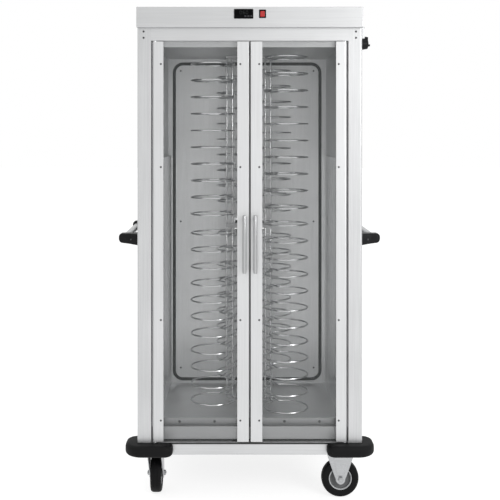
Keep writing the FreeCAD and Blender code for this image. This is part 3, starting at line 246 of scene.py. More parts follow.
class Paint:
    """A material under construction: its nodes and its shader."""

    def __init__(self, name, color, metallic=0.0, roughness=0.5, **sockets):
        self.material = bpy.data.materials.new(name)
        self.material.use_nodes = True
        self.tree = self.material.node_tree
        self.shader = self.tree.nodes["Principled BSDF"]
        self.shader.inputs["Base Color"].default_value = (*color, 1)
        self.shader.inputs["Metallic"].default_value = metallic
        self.shader.inputs["Roughness"].default_value = roughness
        for socket, value in sockets.items():
            self.shader.inputs[socket.replace("_", " ")].default_value = value
        self.color = color

    def add(self, kind, **settings):
        made = self.tree.nodes.new(kind)
        for name, value in settings.items():
            setattr(made, name, value)
        return made

    def link(self, source, target):
        self.tree.links.new(source, target)

    def noise(self, scale, stretch=(1, 1, 1), detail=3.0, rough=0.55):
        """Noise on Object coordinates, stretched along each axis by a factor."""
        place = self.add("ShaderNodeTexCoord")
        mapping = self.add("ShaderNodeMapping")
        mapping.inputs["Scale"].default_value = stretch
        texture = self.add("ShaderNodeTexNoise")
        texture.inputs["Scale"].default_value = scale
        texture.inputs["Detail"].default_value = detail
        texture.inputs["Roughness"].default_value = rough
        self.link(place.outputs["Object"], mapping.inputs["Vector"])
        self.link(mapping.outputs["Vector"], texture.inputs["Vector"])
        return texture.outputs["Fac"]

    def between(self, one, two):
        """The middle of two factors."""
        total = self.add("ShaderNodeMath", operation="ADD")
        half = self.add("ShaderNodeMath", operation="MULTIPLY")
        half.inputs[1].default_value = 0.5
        self.link(one, total.inputs[0])
        self.link(two, total.inputs[1])
        self.link(total.outputs[0], half.inputs[0])
        return half.outputs[0]

    def spread(self, factor, low, high):
        """Map a factor of 0.3 to 0.7 on to a range of values."""
        ranged = self.add("ShaderNodeMapRange")
        ranged.inputs["From Min"].default_value = 0.3
        ranged.inputs["From Max"].default_value = 0.7
        ranged.inputs["To Min"].default_value = low
        ranged.inputs["To Max"].default_value = high
        self.link(factor, ranged.inputs["Value"])
        return ranged.outputs["Result"]

    def vary_color(self, factor, amount):
        """Lighten and darken the colour by a share of itself."""
        mixed = self.add("ShaderNodeMix", data_type="RGBA")
        mixed.inputs[6].default_value = (*[c * (1 - amount) for c in self.color], 1)
        mixed.inputs[7].default_value = (*[min(1, c * (1 + amount)) for c in self.color], 1)
        self.link(self.spread(factor, 0, 1), mixed.inputs[0])
        self.link(mixed.outputs[2], self.shader.inputs["Base Color"])
        return self

    def vary_roughness(self, factor, low, high):
        self.link(self.spread(factor, low, high), self.shader.inputs["Roughness"])
        return self

    def bump(self, factor, strength, distance):
        raised = self.add("ShaderNodeBump")
        raised.inputs["Strength"].default_value = strength
        raised.inputs["Distance"].default_value = distance
        self.link(factor, raised.inputs["Height"])
        self.link(raised.outputs["Normal"], self.shader.inputs["Normal"])
        return self

    def other_below(self, axis, level, color, metallic):
        """Below a level on an axis the colour and the metallic share are others: painted shade on the sill
        and the tray lip, and near black on the pan below its top.
        """
        place = self.add("ShaderNodeTexCoord")
        parted = self.add("ShaderNodeSeparateXYZ")
        above = self.add("ShaderNodeMath", operation="GREATER_THAN")
        above.inputs[1].default_value = level * MM
        self.link(place.outputs["Object"], parted.inputs[0])
        self.link(parted.outputs[axis], above.inputs[0])
        mixed = self.add("ShaderNodeMix", data_type="RGBA")
        mixed.inputs[6].default_value = (*color, 1)
        base = self.shader.inputs["Base Color"]
        self.link(base.links[0].from_socket, mixed.inputs[7])
        self.link(above.outputs[0], mixed.inputs[0])
        self.link(mixed.outputs[2], base)
        share = self.add("ShaderNodeMapRange")
        share.inputs["To Min"].default_value = metallic
        share.inputs["To Max"].default_value = self.shader.inputs["Metallic"].default_value
        self.link(above.outputs[0], share.inputs["Value"])
        self.link(share.outputs["Result"], self.shader.inputs["Metallic"])
        return self


def brushed(name, color, roughness, along="z", metallic=1.0, depth=0.35, tone=0.05, split=None):
    """Sheet metal with fine straight scratches along one axis and soft cloudy patches."""
    stretch = {"x": (0.02, 1, 1), "y": (1, 0.02, 1), "z": (1, 1, 0.02)}[along]
    paint = Paint(name, color, metallic, roughness)
    lines = paint.noise(900, stretch, 2.0)
    clouds = paint.noise(3.0, (1, 1, 1), 3.0)
    streaks = paint.noise(210, stretch, 1.0)
    paint.vary_color(paint.between(clouds, streaks), tone)
    if split:
        paint.other_below(*split)
    paint.vary_roughness(lines, roughness - 0.07, roughness + 0.08)
    paint.bump(lines, depth, 0.00004)
    return paint.material


def plastic(name, color, roughness, grain=1400, depth=0.12, **sockets):
    """Moulded plastic or rubber with a fine grain and slight shading."""
    paint = Paint(name, color, 0.0, roughness, **sockets)
    fine = paint.noise(grain, (1, 1, 1), 2.0)
    soft = paint.noise(14, (1, 1, 1), 3.0)
    paint.vary_color(soft, 0.18)
    paint.vary_roughness(soft, roughness - 0.06, roughness + 0.07)
    paint.bump(fine, depth, 0.0002)
    return paint.material


def clear_pane():
    """A clear sheet: mostly see-through, with a faint reflection and a trace of dust."""
    paint = Paint("clear_pane", (0.30, 0.32, 0.32), 0.0, 0.03, Alpha=0.09, IOR=1.45)
    dust = paint.noise(5.0, (1, 1, 0.4), 4.0)
    paint.vary_roughness(dust, 0.02, 0.06)
    return paint.material


MATT = {"Specular_IOR_Level": 0.14}
DEEP = {"Specular_IOR_Level": 0.04}
SKINS = {
    "steel": brushed("satin_sheet", (0.56, 0.565, 0.57), 0.42, "z", tone=0.09),
    "rail": brushed("rail_sheet", (0.57, 0.575, 0.58), 0.40, "x", tone=0.08),
    "cover": brushed("cover_sheet", (0.55, 0.555, 0.56), 0.42, "x", tone=0.06),
    # Below z = 300 the sheet is darker: painted shade on the sill behind the doors.
    "front": brushed("front_sheet", (0.57, 0.575, 0.58), 0.42, "x",
                     split=("Z", 300, (0.36, 0.363, 0.366), 1.0)),
    "pan": brushed("pan_sheet", (0.66, 0.663, 0.666), 0.40, "x",
                   split=("Z", 208.9, (0.005, 0.005, 0.005), 0.0)),
    "liner": brushed("liner_sheet", (0.60, 0.605, 0.61), 0.36, "z", tone=0.09),
    # The duct steel is near white: polished steel, partly painted light, brightened to stand in for the
    # bright side it reflects.
    "duct": brushed("duct_sheet", (0.93, 0.935, 0.94), 0.28, "z", depth=0.12, tone=0.04),
    # The column is darker than the liner: painted shade.
    "column": brushed("column_sheet", (0.36, 0.363, 0.366), 0.36, "z", tone=0.06),
    # The ceiling is darker than the liner: painted shade under the top.
    "ceiling": brushed("ceiling_sheet", (0.50, 0.505, 0.51), 0.36, "y", tone=0.08),
    # In front of y = -264 the tray is much darker: painted shade on its lip behind the doors.
    "floor": brushed("tray_sheet", (0.74, 0.745, 0.75), 0.40, "x", tone=0.06,
                     split=("Y", -264, (0.30, 0.303, 0.306), 1.0)),
    "profile": brushed("satin_profile", (0.61, 0.615, 0.62), 0.45, "z", depth=0.2, tone=0.06),
    "wire": brushed("polished_wire", (0.62, 0.625, 0.63), 0.23, "x", depth=0.05, tone=0.03),
    "bar": brushed("polished_bar", (0.43, 0.435, 0.44), 0.30, "y", depth=0.05, tone=0.02),
    "zinc": brushed("bright_zinc", (0.44, 0.446, 0.455), 0.3, "x", depth=0.1, tone=0.08),
    "screw": brushed("screw_steel", (0.07, 0.07, 0.073), 0.45, "x", metallic=0.5, depth=0.1, tone=0.08),
    "rubber": plastic("black_rubber", (0.008, 0.008, 0.0085), 0.60, **MATT),
    "seal": plastic("grey_seal", (0.022, 0.022, 0.023), 0.60, **MATT),
    "moulding": plastic("black_moulding", (0.012, 0.012, 0.013), 0.42, **MATT),
    "tyre": plastic("black_tyre", (0.007, 0.007, 0.0075), 0.62, 900, 0.2, **MATT),
    "rim": plastic("grey_rim", (0.17, 0.173, 0.177), 0.45, 1200, 0.08),
    "rim_lip": plastic("pale_rim_lip", (0.62, 0.63, 0.64), 0.35, 1200, 0.05),
    "pane": clear_pane(),
    "display": plastic("satin_black", (0.004, 0.004, 0.0045), 0.38, 2200, 0.04, **DEEP),
    "window": plastic("gloss_black", (0.002, 0.002, 0.0025), 0.10, 2200, 0.01, **DEEP),
    "segments": plastic("faint_segments", (0.045, 0.048, 0.048), 0.40, 2200, 0.01, **MATT),
    "keys": plastic("grey_keys", (0.055, 0.055, 0.06), 0.45, **MATT),
    "red": plastic("red_rocker", (0.62, 0.012, 0.010), 0.25, 1800, 0.03, Coat_Weight=0.4),
    "motor": plastic("dark_paint", (0.05, 0.05, 0.055), 0.45),
    "element": brushed("tinted_sheath", (0.30, 0.27, 0.25), 0.45, "x"),
}

NODE_SKINS = {
    "steel": ("corner_posts", "side_panels", "back_panel"),
    "rail": ("base_rails",),
    "front": ("front_rails",),
    "pan": ("bottom_pan",),
    "cover": ("top_cover",),
    "liner": ("liner_walls", "rear_panel"),
    "duct": ("duct_covers",),
    "column": ("rack_column",),
    "ceiling": ("ceiling_panel",),
    "floor": ("floor_tray",),
    "rubber": ("bumpers",),
    "seal": ("rear_gasket",),
    "zinc": ("frame_screws", "hinge_pins", "caster_plates", "fixed_forks", "fixed_axles",
             "left_front_fork", "left_rear_fork", "left_front_axle", "left_rear_axle"),
    "wire": ("rack_rods", "fan_guard"),
    "bar": ("push_bars", "left_door_handle", "right_door_handle"),
    "profile": ("left_door_stiles", "right_door_stiles"),
    "pane": ("left_door_glass", "right_door_glass"),
    "moulding": ("handle_brackets", "door_catches", "inlet_case", "inlet_cap", "switch_case",
                 "fan_wheel", "left_front_brake", "left_rear_brake"),
    "display": ("thermostat_case",),
    "keys": ("down_key", "set_key", "up_key"),
    "red": ("rocker",),
    "motor": ("fan_motor",),
    "element": ("heating_element",),
}
for skin, names in NODE_SKINS.items():
    for name in names:
        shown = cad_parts[name]
        shown.data.materials.clear()
        shown.data.materials.append(SKINS[skin])


# ---------------------------------------- plate racks

RING_RADIUS, WIRE, ROD_SPREAD, PITCH = 78.0, 2.75, 20.0, 57.6
MAST_Y, FRONT_RING_Y, BACK_RING_Y = FRONT + 243, FRONT + 120, FRONT + 373
LEFT_MAST, RIGHT_MAST = -68.0, 70.0
CORNER_TURN, CORNER_REACH, LEG_SHORT = 0.07, 6.0, 3.0
ROD_RADIUS, ROD_RIM = 3.0, 0.8
ROD_ENDS = ((288, 902), (918, 1512))


def ring_path(centre, mast):
    """The centre line of a plate ring: leg, nearly full circle, leg.

    The circle is centre + R(cos a along + sin a across), open towards the mast.  The corners
    between the legs and the circle are rounded by a short quadratic curve.
    """
    centre, mast = np.array(centre, float), np.array(mast, float)
    reach = RING_RADIUS - WIRE
    along = (mast - centre) / np.linalg.norm(mast - centre)
    across = np.array([-along[1], along[0]])
    opening = math.asin(ROD_SPREAD / 2 / reach)
    ends = [mast + np.array([side * ROD_SPREAD / 2, 0]) for side in (-1, 1)]
    if (ends[0] - mast).dot(across) < 0:
        ends.reverse()
    angle = np.linspace(opening + CORNER_TURN, TAU - opening - CORNER_TURN, 56)
    circle = centre + reach * (np.cos(angle)[:, None] * along + np.sin(angle)[:, None] * across)
    legs = []
    for end, turn, sign in ((ends[0], opening, 1), (ends[1], -opening, -1)):
        corner = centre + reach * (math.cos(turn) * along + math.sin(turn) * across)
        way = (end - corner) / np.linalg.norm(end - corner)
        stop = end - way * LEG_SHORT
        near = corner + way * CORNER_REACH
        joint = circle[0] if sign > 0 else circle[-1]
        share = np.linspace(0, 1, 5)[:-1, None]
        curve = (1 - share) ** 2 * near + 2 * share * (1 - share) * corner + share ** 2 * joint
        legs.append(np.concatenate([[stop], curve]))
    return np.concatenate([legs[0], circle, legs[1][::-1]])


def rack(node, mast_x, stacks):
    """One rack's rings, as smooth wire, in place of its node."""
    parts = []
    for x, y, top, count in stacks:
        flat = ring_path((x, y), (mast_x, MAST_Y))
        for index in range(count):
            level = np.full(len(flat), top - index * PITCH)
            parts.append(tube(np.column_stack([flat, level]), WIRE, 8))
    piece(node.replace("rings", "wire_rings"), parts, SKINS["wire"], "cabinet", (node,))


rack("upper_left_rings", LEFT_MAST, ((-125, FRONT_RING_Y, 1481, 10), (-40, BACK_RING_Y, 1450, 9)))
rack("upper_right_rings", RIGHT_MAST, ((127, FRONT_RING_Y, 1504, 11), (85, BACK_RING_Y, 1474, 10)))
rack("lower_left_rings", LEFT_MAST, ((-125, FRONT_RING_Y, 896.5, 11), (-40, BACK_RING_Y, 867.5, 10)))
rack("lower_right_rings", RIGHT_MAST, ((127, FRONT_RING_Y, 869.5, 11), (85, BACK_RING_Y, 859, 9)))

rods = []
for mast in (LEFT_MAST, RIGHT_MAST):
    for x in (mast - ROD_SPREAD / 2, mast + ROD_SPREAD / 2):
        for foot, top in ROD_ENDS:
            rods.append(round_bar((x, MAST_Y, foot), (x, MAST_Y, top), ROD_RADIUS, ROD_RIM, 20))
piece("round_rack_rods", rods, SKINS["wire"], "cabinet", ("rack_rods",))


# ---------------------------------------- fan guard, seals and the sill's painted shadow

FAN_CENTRE = np.array([9.0, 198.5, 880.0])
GUARD_HOOPS, GUARD_SPOKE, GUARD_WIRE = (17.8, 37.2, 60.4), 60.0, 1.5
REAR_FACE, REAR_HALF_X, REAR_HALF_Z, REAR_LEVEL, REAR_CORNER = 200.0, 290.0, 620.0, 898.0, 40.0
BEAD_HALF, BEAD_HEIGHT = 6.0, 5.0
LIP_NEAR, LIP_FAR, DOOR_FOOT, DOOR_TOP = 1.4, 3.2, 214.0, 1545.0
SILL_HALF, SILL_FACE, SILL_FOOT = 328.0, FRONT + 22.4, 209.0


def fan_guard():
    """Three hoops and two crossing spokes of round wire over the fan's hole."""
    angle = np.linspace(0, TAU, 64, endpoint=False)
    circle = np.stack([np.cos(angle), np.zeros(64), np.sin(angle)], -1)
    parts = [tube(FAN_CENTRE + reach * circle, GUARD_WIRE, 8, closed=True) for reach in GUARD_HOOPS]
    for turn in (TAU / 8, 3 * TAU / 8):
        way = np.array([math.cos(turn), 0, math.sin(turn)]) * GUARD_SPOKE
        parts.append(tube(FAN_CENTRE + np.linspace(-1, 1, 3)[:, None] * way, GUARD_WIRE, 8))
    piece("wire_fan_guard", parts, SKINS["wire"], "cabinet", ("fan_guard",))


def rear_seal():
    """A soft bead round the rear panel: a half-ellipse carried round a rounded rectangle."""
    turn = np.linspace(0, TAU / 2, 11)
    rows = []
    for inset, lift in zip(BEAD_HALF - BEAD_HALF * np.cos(turn), BEAD_HEIGHT * np.sin(turn)):
        outline = rounded_rectangle(REAR_HALF_X - inset, REAR_HALF_Z - inset, REAR_CORNER - inset, 12)
        face = np.full(len(outline), REAR_FACE - lift)
        rows.append(np.column_stack([outline[:, 0], face, outline[:, 1] + REAR_LEVEL]))
    rows.append(rows[0])
    piece("rear_seal_bead", [loft(rows, False, False)], SKINS["seal"], "cabinet", ("rear_gasket",))


def meeting_seals():
    """A black seal lip down the meeting edge of each door."""
    for name, near, far in (("left", -LIP_FAR, -LIP_NEAR), ("right", LIP_NEAR, LIP_FAR)):
        lip = soft_box((near, FRONT + 5, DOOR_FOOT), (far, FRONT + 12, DOOR_TOP), 0.5, steps=2)
        piece(name + "_meeting_seal", [lip], SKINS["rubber"], name + "_door", ())


def painted_sill_shadow():
    """A slim dark strip in the seal material along the foot of the sill: painted shadow where the sill meets
    the pan.
    """
    low, high = (-SILL_HALF, SILL_FACE, SILL_FOOT), (SILL_HALF, FRONT + 24, SILL_FOOT + 5)
    strip = soft_box(low, high, 0.5, steps=2)
    piece("sill_shadow_strip", [strip], SKINS["seal"], "cabinet", ())


fan_guard()
rear_seal()
meeting_seals()
painted_sill_shadow()


# ---------------------------------------- cover and controls

COVER_FRONT, CONTROL_LEVEL, DISPLAY_X, SWITCH_X = FRONT - 15, 1637.0, -20.7, 42.0
COVER_HALF, COVER_BACK, COVER_FOOT, COVER_TOP, COVER_ROLL = 377.0, BACK + 2, 1592.0, 1661.0, 2.2
DISPLAY_HALF, DISPLAY_HOLE, SWITCH_HALF, SWITCH_HOLE = (32.0, 16.0), (29.0, 13.0), (11.5, 14.0), (9.0, 11.5)
FIGURE_STEP, FIGURE_WIDTH, FIGURE_HEIGHT, BAR_HALF = 10.5, 6.0, 10.0, 0.55
ROCKER_HALF, ROCKER_TILT = 9.2, math.radians(8)


def control_cover():
    """The folded lid with rolled edges and its two windows."""
    windows = [(x - half_x, x + half_x, CONTROL_LEVEL - half_z, CONTROL_LEVEL + half_z)
               for x, (half_x, half_z) in ((DISPLAY_X, DISPLAY_HOLE), (SWITCH_X, SWITCH_HOLE))]
    lid = soft_box((-COVER_HALF, COVER_FRONT, COVER_FOOT), (COVER_HALF, COVER_BACK, COVER_TOP), COVER_ROLL,
                   windows)
    piece("folded_cover", [lid], SKINS["cover"], "cabinet", ("top_cover",))


SEGMENT_PLACES = {"a": (0, 2), "b": (1, 1), "c": (1, -1), "d": (0, -2), "e": (-1, -1), "f": (-1, 1),
                  "g": (0, 0)}


def digit(shape, x, z):
    """One seven-segment figure: bars at the rims and middle of a rectangle."""
    bars = []
    for name in shape:
        across, up = SEGMENT_PLACES[name]
        flat = across == 0
        centre = np.array([x + across * FIGURE_WIDTH / 2, COVER_FRONT - 3.72, z + up * FIGURE_HEIGHT / 4])
        if flat:
            half = np.array([FIGURE_WIDTH / 2 - 0.8, 0.12, BAR_HALF])
        else:
            half = np.array([BAR_HALF, 0.12, FIGURE_HEIGHT / 4 - 0.7])
        bars.append(soft_box(centre - half, centre + half, 0.1, steps=2))
    return bars


def rim_rows(rim, half, x, soft, least):
    """Rows of a rolled rim on the cover: a rounded rectangle for each pair (inset, depth)."""
    rows = []
    for inset, y in rim:
        outline = rounded_rectangle(half[0] - inset, half[1] - inset, max(soft - inset, least), 6)
        rows.append(np.column_stack([outline[:, 0] + x, np.full(len(outline), y),
                                     outline[:, 1] + CONTROL_LEVEL]))
    return rows


def thermostat():
    """A black case with a rolled rim, a gloss window and faint figures in it."""
    x, z = DISPLAY_X, CONTROL_LEVEL
    front = COVER_FRONT - 4
    rim = [(0.0, COVER_FRONT), (0.0, front + 1.4), (0.4, front + 0.4), (1.4, front), (3.2, front),
           (3.8, front + 0.5), (3.8, front + 1.2)]
    case = loft(rim_rows(rim, DISPLAY_HALF, x, 2.4, 0.8))
    body = soft_box((x - 28.8, COVER_FRONT + 0.2, z - 12.8), (x + 28.8, COVER_FRONT + 45, z + 12.8), 0.8)
    piece("display_case", [case, body], SKINS["display"], "cabinet", ("thermostat_case",))
    pane = soft_box((x - 27, front + 0.35, z - 3.6), (x + 27, front + 1.4, z + 11), 0.3, steps=2)
    piece("display_window", [pane], SKINS["window"], "cabinet", ())
    figures = []
    for place, shape in enumerate(("abcdef", "acdefg", "abcdef")):
        figures += digit(shape, x - 10 + FIGURE_STEP * place, z + 3.9)
    piece("display_figures", figures, SKINS["segments"], "cabinet", ())
    for name in ("down_key", "set_key", "up_key"):
        low, high = (np.array(corner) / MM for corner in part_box(name))
        button = name.replace("_key", "_button")
        piece(button, [soft_box(low, high, 0.9)], SKINS["keys"], name, (name,))


def rocker_switch():
    """The frame of the switch and its tilted red rocker with a hollow face.

    The rocker's face stands at y = -3.2 - (z / 9.2)^2 before it tilts by 8 degrees.
    """
    front = COVER_FRONT - 2.5
    rim = [(0.0, COVER_FRONT), (0.0, front + 0.9), (0.3, front + 0.25), (0.9, front), (2.5, front),
           (3.6, front + 0.6), (3.75, COVER_FRONT + 12)]
    case = loft(rim_rows(rim, SWITCH_HALF, SWITCH_X, 1.6, 0.4), False, True)
    body = soft_box((SWITCH_X - 8.8, COVER_FRONT + 12, CONTROL_LEVEL - 11.3),
                    (SWITCH_X + 8.8, COVER_FRONT + 26, CONTROL_LEVEL + 11.3), 0.8)
    piece("switch_frame", [case, body], SKINS["display"], "cabinet", ("switch_case",))
    face = np.linspace(ROCKER_HALF, -ROCKER_HALF, 15)
    outline = np.concatenate([np.column_stack([-3.2 - (face / ROCKER_HALF) ** 2, face]),
                              [[4.0, -8.6], [9.0, -2.0], [9.0, 2.0], [4.0, 8.6]]])
    rows = []
    for across, share in ((-7.3, 0.90), (-7.1, 0.95), (-6.6, 0.985), (-5.8, 1.0), (-5.0, 1.0),
                          (5.0, 1.0), (5.8, 1.0), (6.6, 0.985), (7.1, 0.95), (7.3, 0.90)):
        rows.append(np.column_stack([np.full(len(outline), across), share * outline]))
    points, faces = loft(rows)
    y, z = points[:, 1] - 1, points[:, 2]
    cosine, sine = math.cos(ROCKER_TILT), math.sin(ROCKER_TILT)
    points = np.column_stack([points[:, 0] + SWITCH_X, COVER_FRONT + 1 + y * cosine - z * sine,
                              CONTROL_LEVEL + y * sine + z * cosine])
    piece("red_rocker_cap", [(points, faces)], SKINS["red"], "rocker", ("rocker",))


control_cover()
thermostat()
rocker_switch()


# ---------------------------------------- mains inlet

INLET_Y, INLET_Z, FLANGE_HALF, PIN_CIRCLE = FRONT + 150, 1553.0, 26.0, 7.0
LID_HINGE_X, LID_HINGE_UP, KNUCKLE_HALF, LID_RADIUS, LID_START = 409.0, 22.0, 5.5, 17.6, SIDE + 37.3


def inlet_box(low, high, radius):
    """A soft box whose corners are given from the inlet's middle."""
    middle = np.array([0, INLET_Y, INLET_Z])
    return soft_box(middle + low, middle + high, radius)


def inlet_pin(half, radius, sides):
    """A bar along the lid's hinge."""
    level = INLET_Z + LID_HINGE_UP
    return round_bar((LID_HINGE_X, INLET_Y - half, level), (LID_HINGE_X, INLET_Y + half, level), radius, 0.3,
                     sides)


def mains_inlet():
    """A round socket on a square foot, its cable duct above and the domed lid before it."""
    rows = []
    for inset, x in ((0, SIDE), (0, SIDE + 3), (0.3, SIDE + 3.7), (1, SIDE + 4), (2.5, SIDE + 4)):
        outline = rounded_rectangle(FLANGE_HALF - inset, FLANGE_HALF - inset, 6 - inset, 8)
        rows.append(np.column_stack([np.full(len(outline), x), outline + (INLET_Y, INLET_Z)]))
    profile = [(21, 3.5), (20.8, 10), (20.3, 18), (19.4, 26), (18.3, 33), (17.6, 36.4), (16.8, 37),
               (15.6, 37), (15, 36.2), (15, 8), (0.01, 8)]
    barrel = lathe(profile, "x", (SIDE, INLET_Y, INLET_Z), 48)
    pins = []
    for turn in (TAU / 4, 7 * TAU / 12, 11 * TAU / 12):
        y, z = INLET_Y + PIN_CIRCLE * math.cos(turn), INLET_Z + PIN_CIRCLE * math.sin(turn)
        pins.append(round_bar((SIDE + 8, y, z), (SIDE + 23, y, z), 2.4, 1.0, 16))
    duct = inlet_box((SIDE + 3, -11, 17.3), (SIDE + 30, 11, 60), 2.5)
    foot = inlet_box((SIDE, -11, 17.3), (SIDE + 4, 11, 29), 0.8)
    ears = [inlet_box((SIDE + 31, y, 16), (SIDE + 37, y + 3, 25), 0.8) for y in (-9, 6)]
    hinge = inlet_pin(9, 1.5, 16)
    piece("inlet_socket", [loft(rows), barrel, foot, hinge] + pins + ears, SKINS["moulding"], "cabinet",
          ("inlet_case",))
    piece("inlet_duct", [duct], SKINS["steel"], "cabinet", ())
    turn = np.linspace(0, 0.99 * QUARTER, 10)
    dome = np.column_stack([LID_RADIUS * np.cos(turn), LID_START + 1 + 6 * np.sin(turn)])
    lid = lathe(np.concatenate([[(0.01, LID_START), (LID_RADIUS - 0.4, LID_START)], dome]), "x",
                (0, INLET_Y, INLET_Z), 48)
    knuckle = inlet_pin(KNUCKLE_HALF, 2.6, 20)
    bridge = inlet_box((LID_HINGE_X, -KNUCKLE_HALF, 20), (LID_START + 5, KNUCKLE_HALF, 24.2), 0.9)
    tab = inlet_box((LID_START, -KNUCKLE_HALF, 10), (LID_START + 5, KNUCKLE_HALF, 24.2), 0.9)
    grip = inlet_box((LID_START + 3.6, -6, -8), (LID_START + 12, 6, -1), 1.6)
    piece("inlet_lid", [lid, knuckle, bridge, tab, grip], SKINS["moulding"], "inlet_cap", ("inlet_cap",))


mains_inlet()


# ---------------------------------------- handles and bumpers

BUMPER_OUT, BUMPER_WIDE, BUMPER_DEEP = 41.0, 119.0, 84.0
BUMPER_FOOT, BUMPER_TOP, BUMPER_ROLL = 170.0, 208.0, 12.5
HANDLE_REACH, BAR_X, BAR_LEVEL, BAR_RADIUS, BAR_ENDS = 445.0, 428.0, 880.0, 12.5, (-209.5, 189.5)
BRACKETS = ((-230.0, -1), (210.0, 1))
BRACKET_FOOT, BRACKET_TOP, BRACKET_WIDE, BRACKET_SLIM = 860.0, 900.0, 32.0, 21.0
PULL_X, PULL_OUT, PULL_RADIUS, PULL_ENDS, PULL_LEGS = 18.0, 26.0, 6.0, (777, 969), (790, 956)


def corner_bumpers():
    """Four fat buffers: plan outlines with round corners, moved in over two rolled rims."""
    def plan(inset):
        left, front = -HALF_WIDTH - BUMPER_OUT + inset, FRONT - BUMPER_OUT + inset
        right, back = -HALF_WIDTH + BUMPER_WIDE - inset, FRONT + BUMPER_DEEP - inset
        points = [np.array([[-HALF_WIDTH, back]])]
        corners = ((left, back, 36 - inset, 1, 1, -1), (left, front, 58 - inset, 2, 1, 1),
                   (right, front, 27 - inset, 3, -1, 1))
        for x, y, radius, quarter, sx, sy in corners:
            turn = np.linspace(0, QUARTER, 10) + quarter * QUARTER
            points.append(np.column_stack([x + sx * radius + radius * np.cos(turn),
                                           y + sy * radius + radius * np.sin(turn)]))
        points.append(np.array([[right, FRONT], [-HALF_WIDTH, FRONT]]))
        return np.concatenate(points)

    rows = []
    for inset, level in rolled_levels(BUMPER_FOOT, BUMPER_TOP, BUMPER_ROLL, 6):
        outline = plan(inset)
        rows.append(np.column_stack([outline, np.full(len(outline), level)]))
    block = loft(rows)
    parts = [moved(block, flip=(sx, sy, 1)) for sx in (1, -1) for sy in (1, -1)]
    piece("corner_buffers", parts, SKINS["rubber"], "cabinet", ("bumpers",))


def push_handles():
    """A polished bar on each side between moulded brackets that slope up below."""
    turn = np.linspace(0, QUARTER, 8)
    stations = [(SIDE, 0), (SIDE + 1, 0), (SIDE + 8, 0), (SIDE + 14, 0), (SIDE + 22, 0), (BAR_X - 16, 0),
                (BAR_X - 13, 0), (HANDLE_REACH - 14, 0)]
    stations += [(HANDLE_REACH - 12 + 12 * math.sin(t), 1 - math.cos(t)) for t in turn]
    rows = []
    for x, fall in stations:
        half_y = np.interp(x, [SIDE, SIDE + 8, BAR_X - 16, HANDLE_REACH],
                           [BRACKET_WIDE, BRACKET_WIDE, BRACKET_SLIM, BRACKET_SLIM]) - 7 * fall
        foot = BRACKET_FOOT + 9 * (x - SIDE) / (HANDLE_REACH - SIDE) + 11 * fall
        top = BRACKET_TOP - 11 * fall
        soft = min(6.0, (top - foot) / 2 - 0.2)
        outline = rounded_rectangle(half_y, (top - foot) / 2, soft, 7)
        rows.append(np.column_stack([np.full(len(outline), x), outline + (0, (top + foot) / 2)]))
    block = loft(rows)
    brackets, heads, bars = [], [], []
    for sign in (1, -1):
        for y, face in BRACKETS:
            brackets.append(moved(block, (0, y, 0), (sign, 1, 1)))
            head = pan_head((0, 0, 0), "y", 3.4, 1.6)
            heads.append(moved(head, (sign * (BAR_X - 26), y + face * 24.6, BAR_LEVEL), (1, -face, 1)))
        start, end = ((sign * BAR_X, y, BAR_LEVEL) for y in BAR_ENDS)
        bars.append(round_bar(start, end, BAR_RADIUS, 0, 48))
    piece("moulded_brackets", brackets, SKINS["moulding"], "cabinet", ("handle_brackets",))
    piece("bracket_screws", heads, SKINS["screw"], "cabinet", ())
    piece("round_push_bars", bars, SKINS["bar"], "cabinet", ("push_bars",))


def door_handles():
    """A slim polished bar on two legs by each meeting stile."""
    leg = [(5, -PULL_OUT), (5, -3.4), (5.2, -2.4), (5.9, -1.6), (5.9, 0)]
    for name, x in (("left", -PULL_X), ("right", PULL_X)):
        start, end = ((x, FRONT - PULL_OUT, level) for level in PULL_ENDS)
        parts = [round_bar(start, end, PULL_RADIUS, 1.6, 32)]
        for level in PULL_LEGS:
            parts.append(lathe(leg, "y", (x, FRONT, level), 32))
        piece(name + "_pull_bar", parts, SKINS["bar"], name + "_door", (name + "_door_handle",))


# ---------------------------------------- screws

# Each row: x, depth behind the front, level, radius and height of a head on the frame
FRAME_SCREWS = ((354, 0, 1559, 3.6, 1.6), (354, 0, 1580, 3.6, 1.6), (118.25, 45, 266, 4.6, 1.8),
                (236.5, 45, 266, 4.6, 1.8), (259, 510, 328, 3.6, 1.8), (259, 510, 898, 3.6, 1.8),
                (259, 510, 1485, 3.6, 1.8))
STILE_SCREW_X, STILE_SCREW_LEVELS = (31.5, 296.5), (1471.5, 1128, 618, 283)


def pan_head(place, axis, radius, height):
    """A low domed screw head that faces -Y or -X: h = height sin(t), r = radius cos(t)."""
    turn = np.linspace(0, 0.98 * QUARTER, 5)
    profile = np.column_stack([radius * np.cos(turn), -height * np.sin(turn)])
    return moved(lathe(profile, axis, (0, 0, 0), 16), place)


def fixings():
    """Screw heads of the frame and of the door stiles."""
    heads = []
    for side in (-1, 1):
        for x, depth, level, radius, height in FRAME_SCREWS:
            heads.append(pan_head((side * x, FRONT + depth, level), "y", radius, height))
    piece("frame_screw_heads", heads, SKINS["screw"], "cabinet", ("frame_screws",))
    for name, side in (("left", -1), ("right", 1)):
        heads = [pan_head((side * x, FRONT, level), "y", 3.4, 1.2)
                 for x in STILE_SCREW_X for level in STILE_SCREW_LEVELS]
        piece(name + "_stile_screws", heads, SKINS["screw"], name + "_door", ())


corner_bumpers()
push_handles()
door_handles()
fixings()


# ---------------------------------------- casters

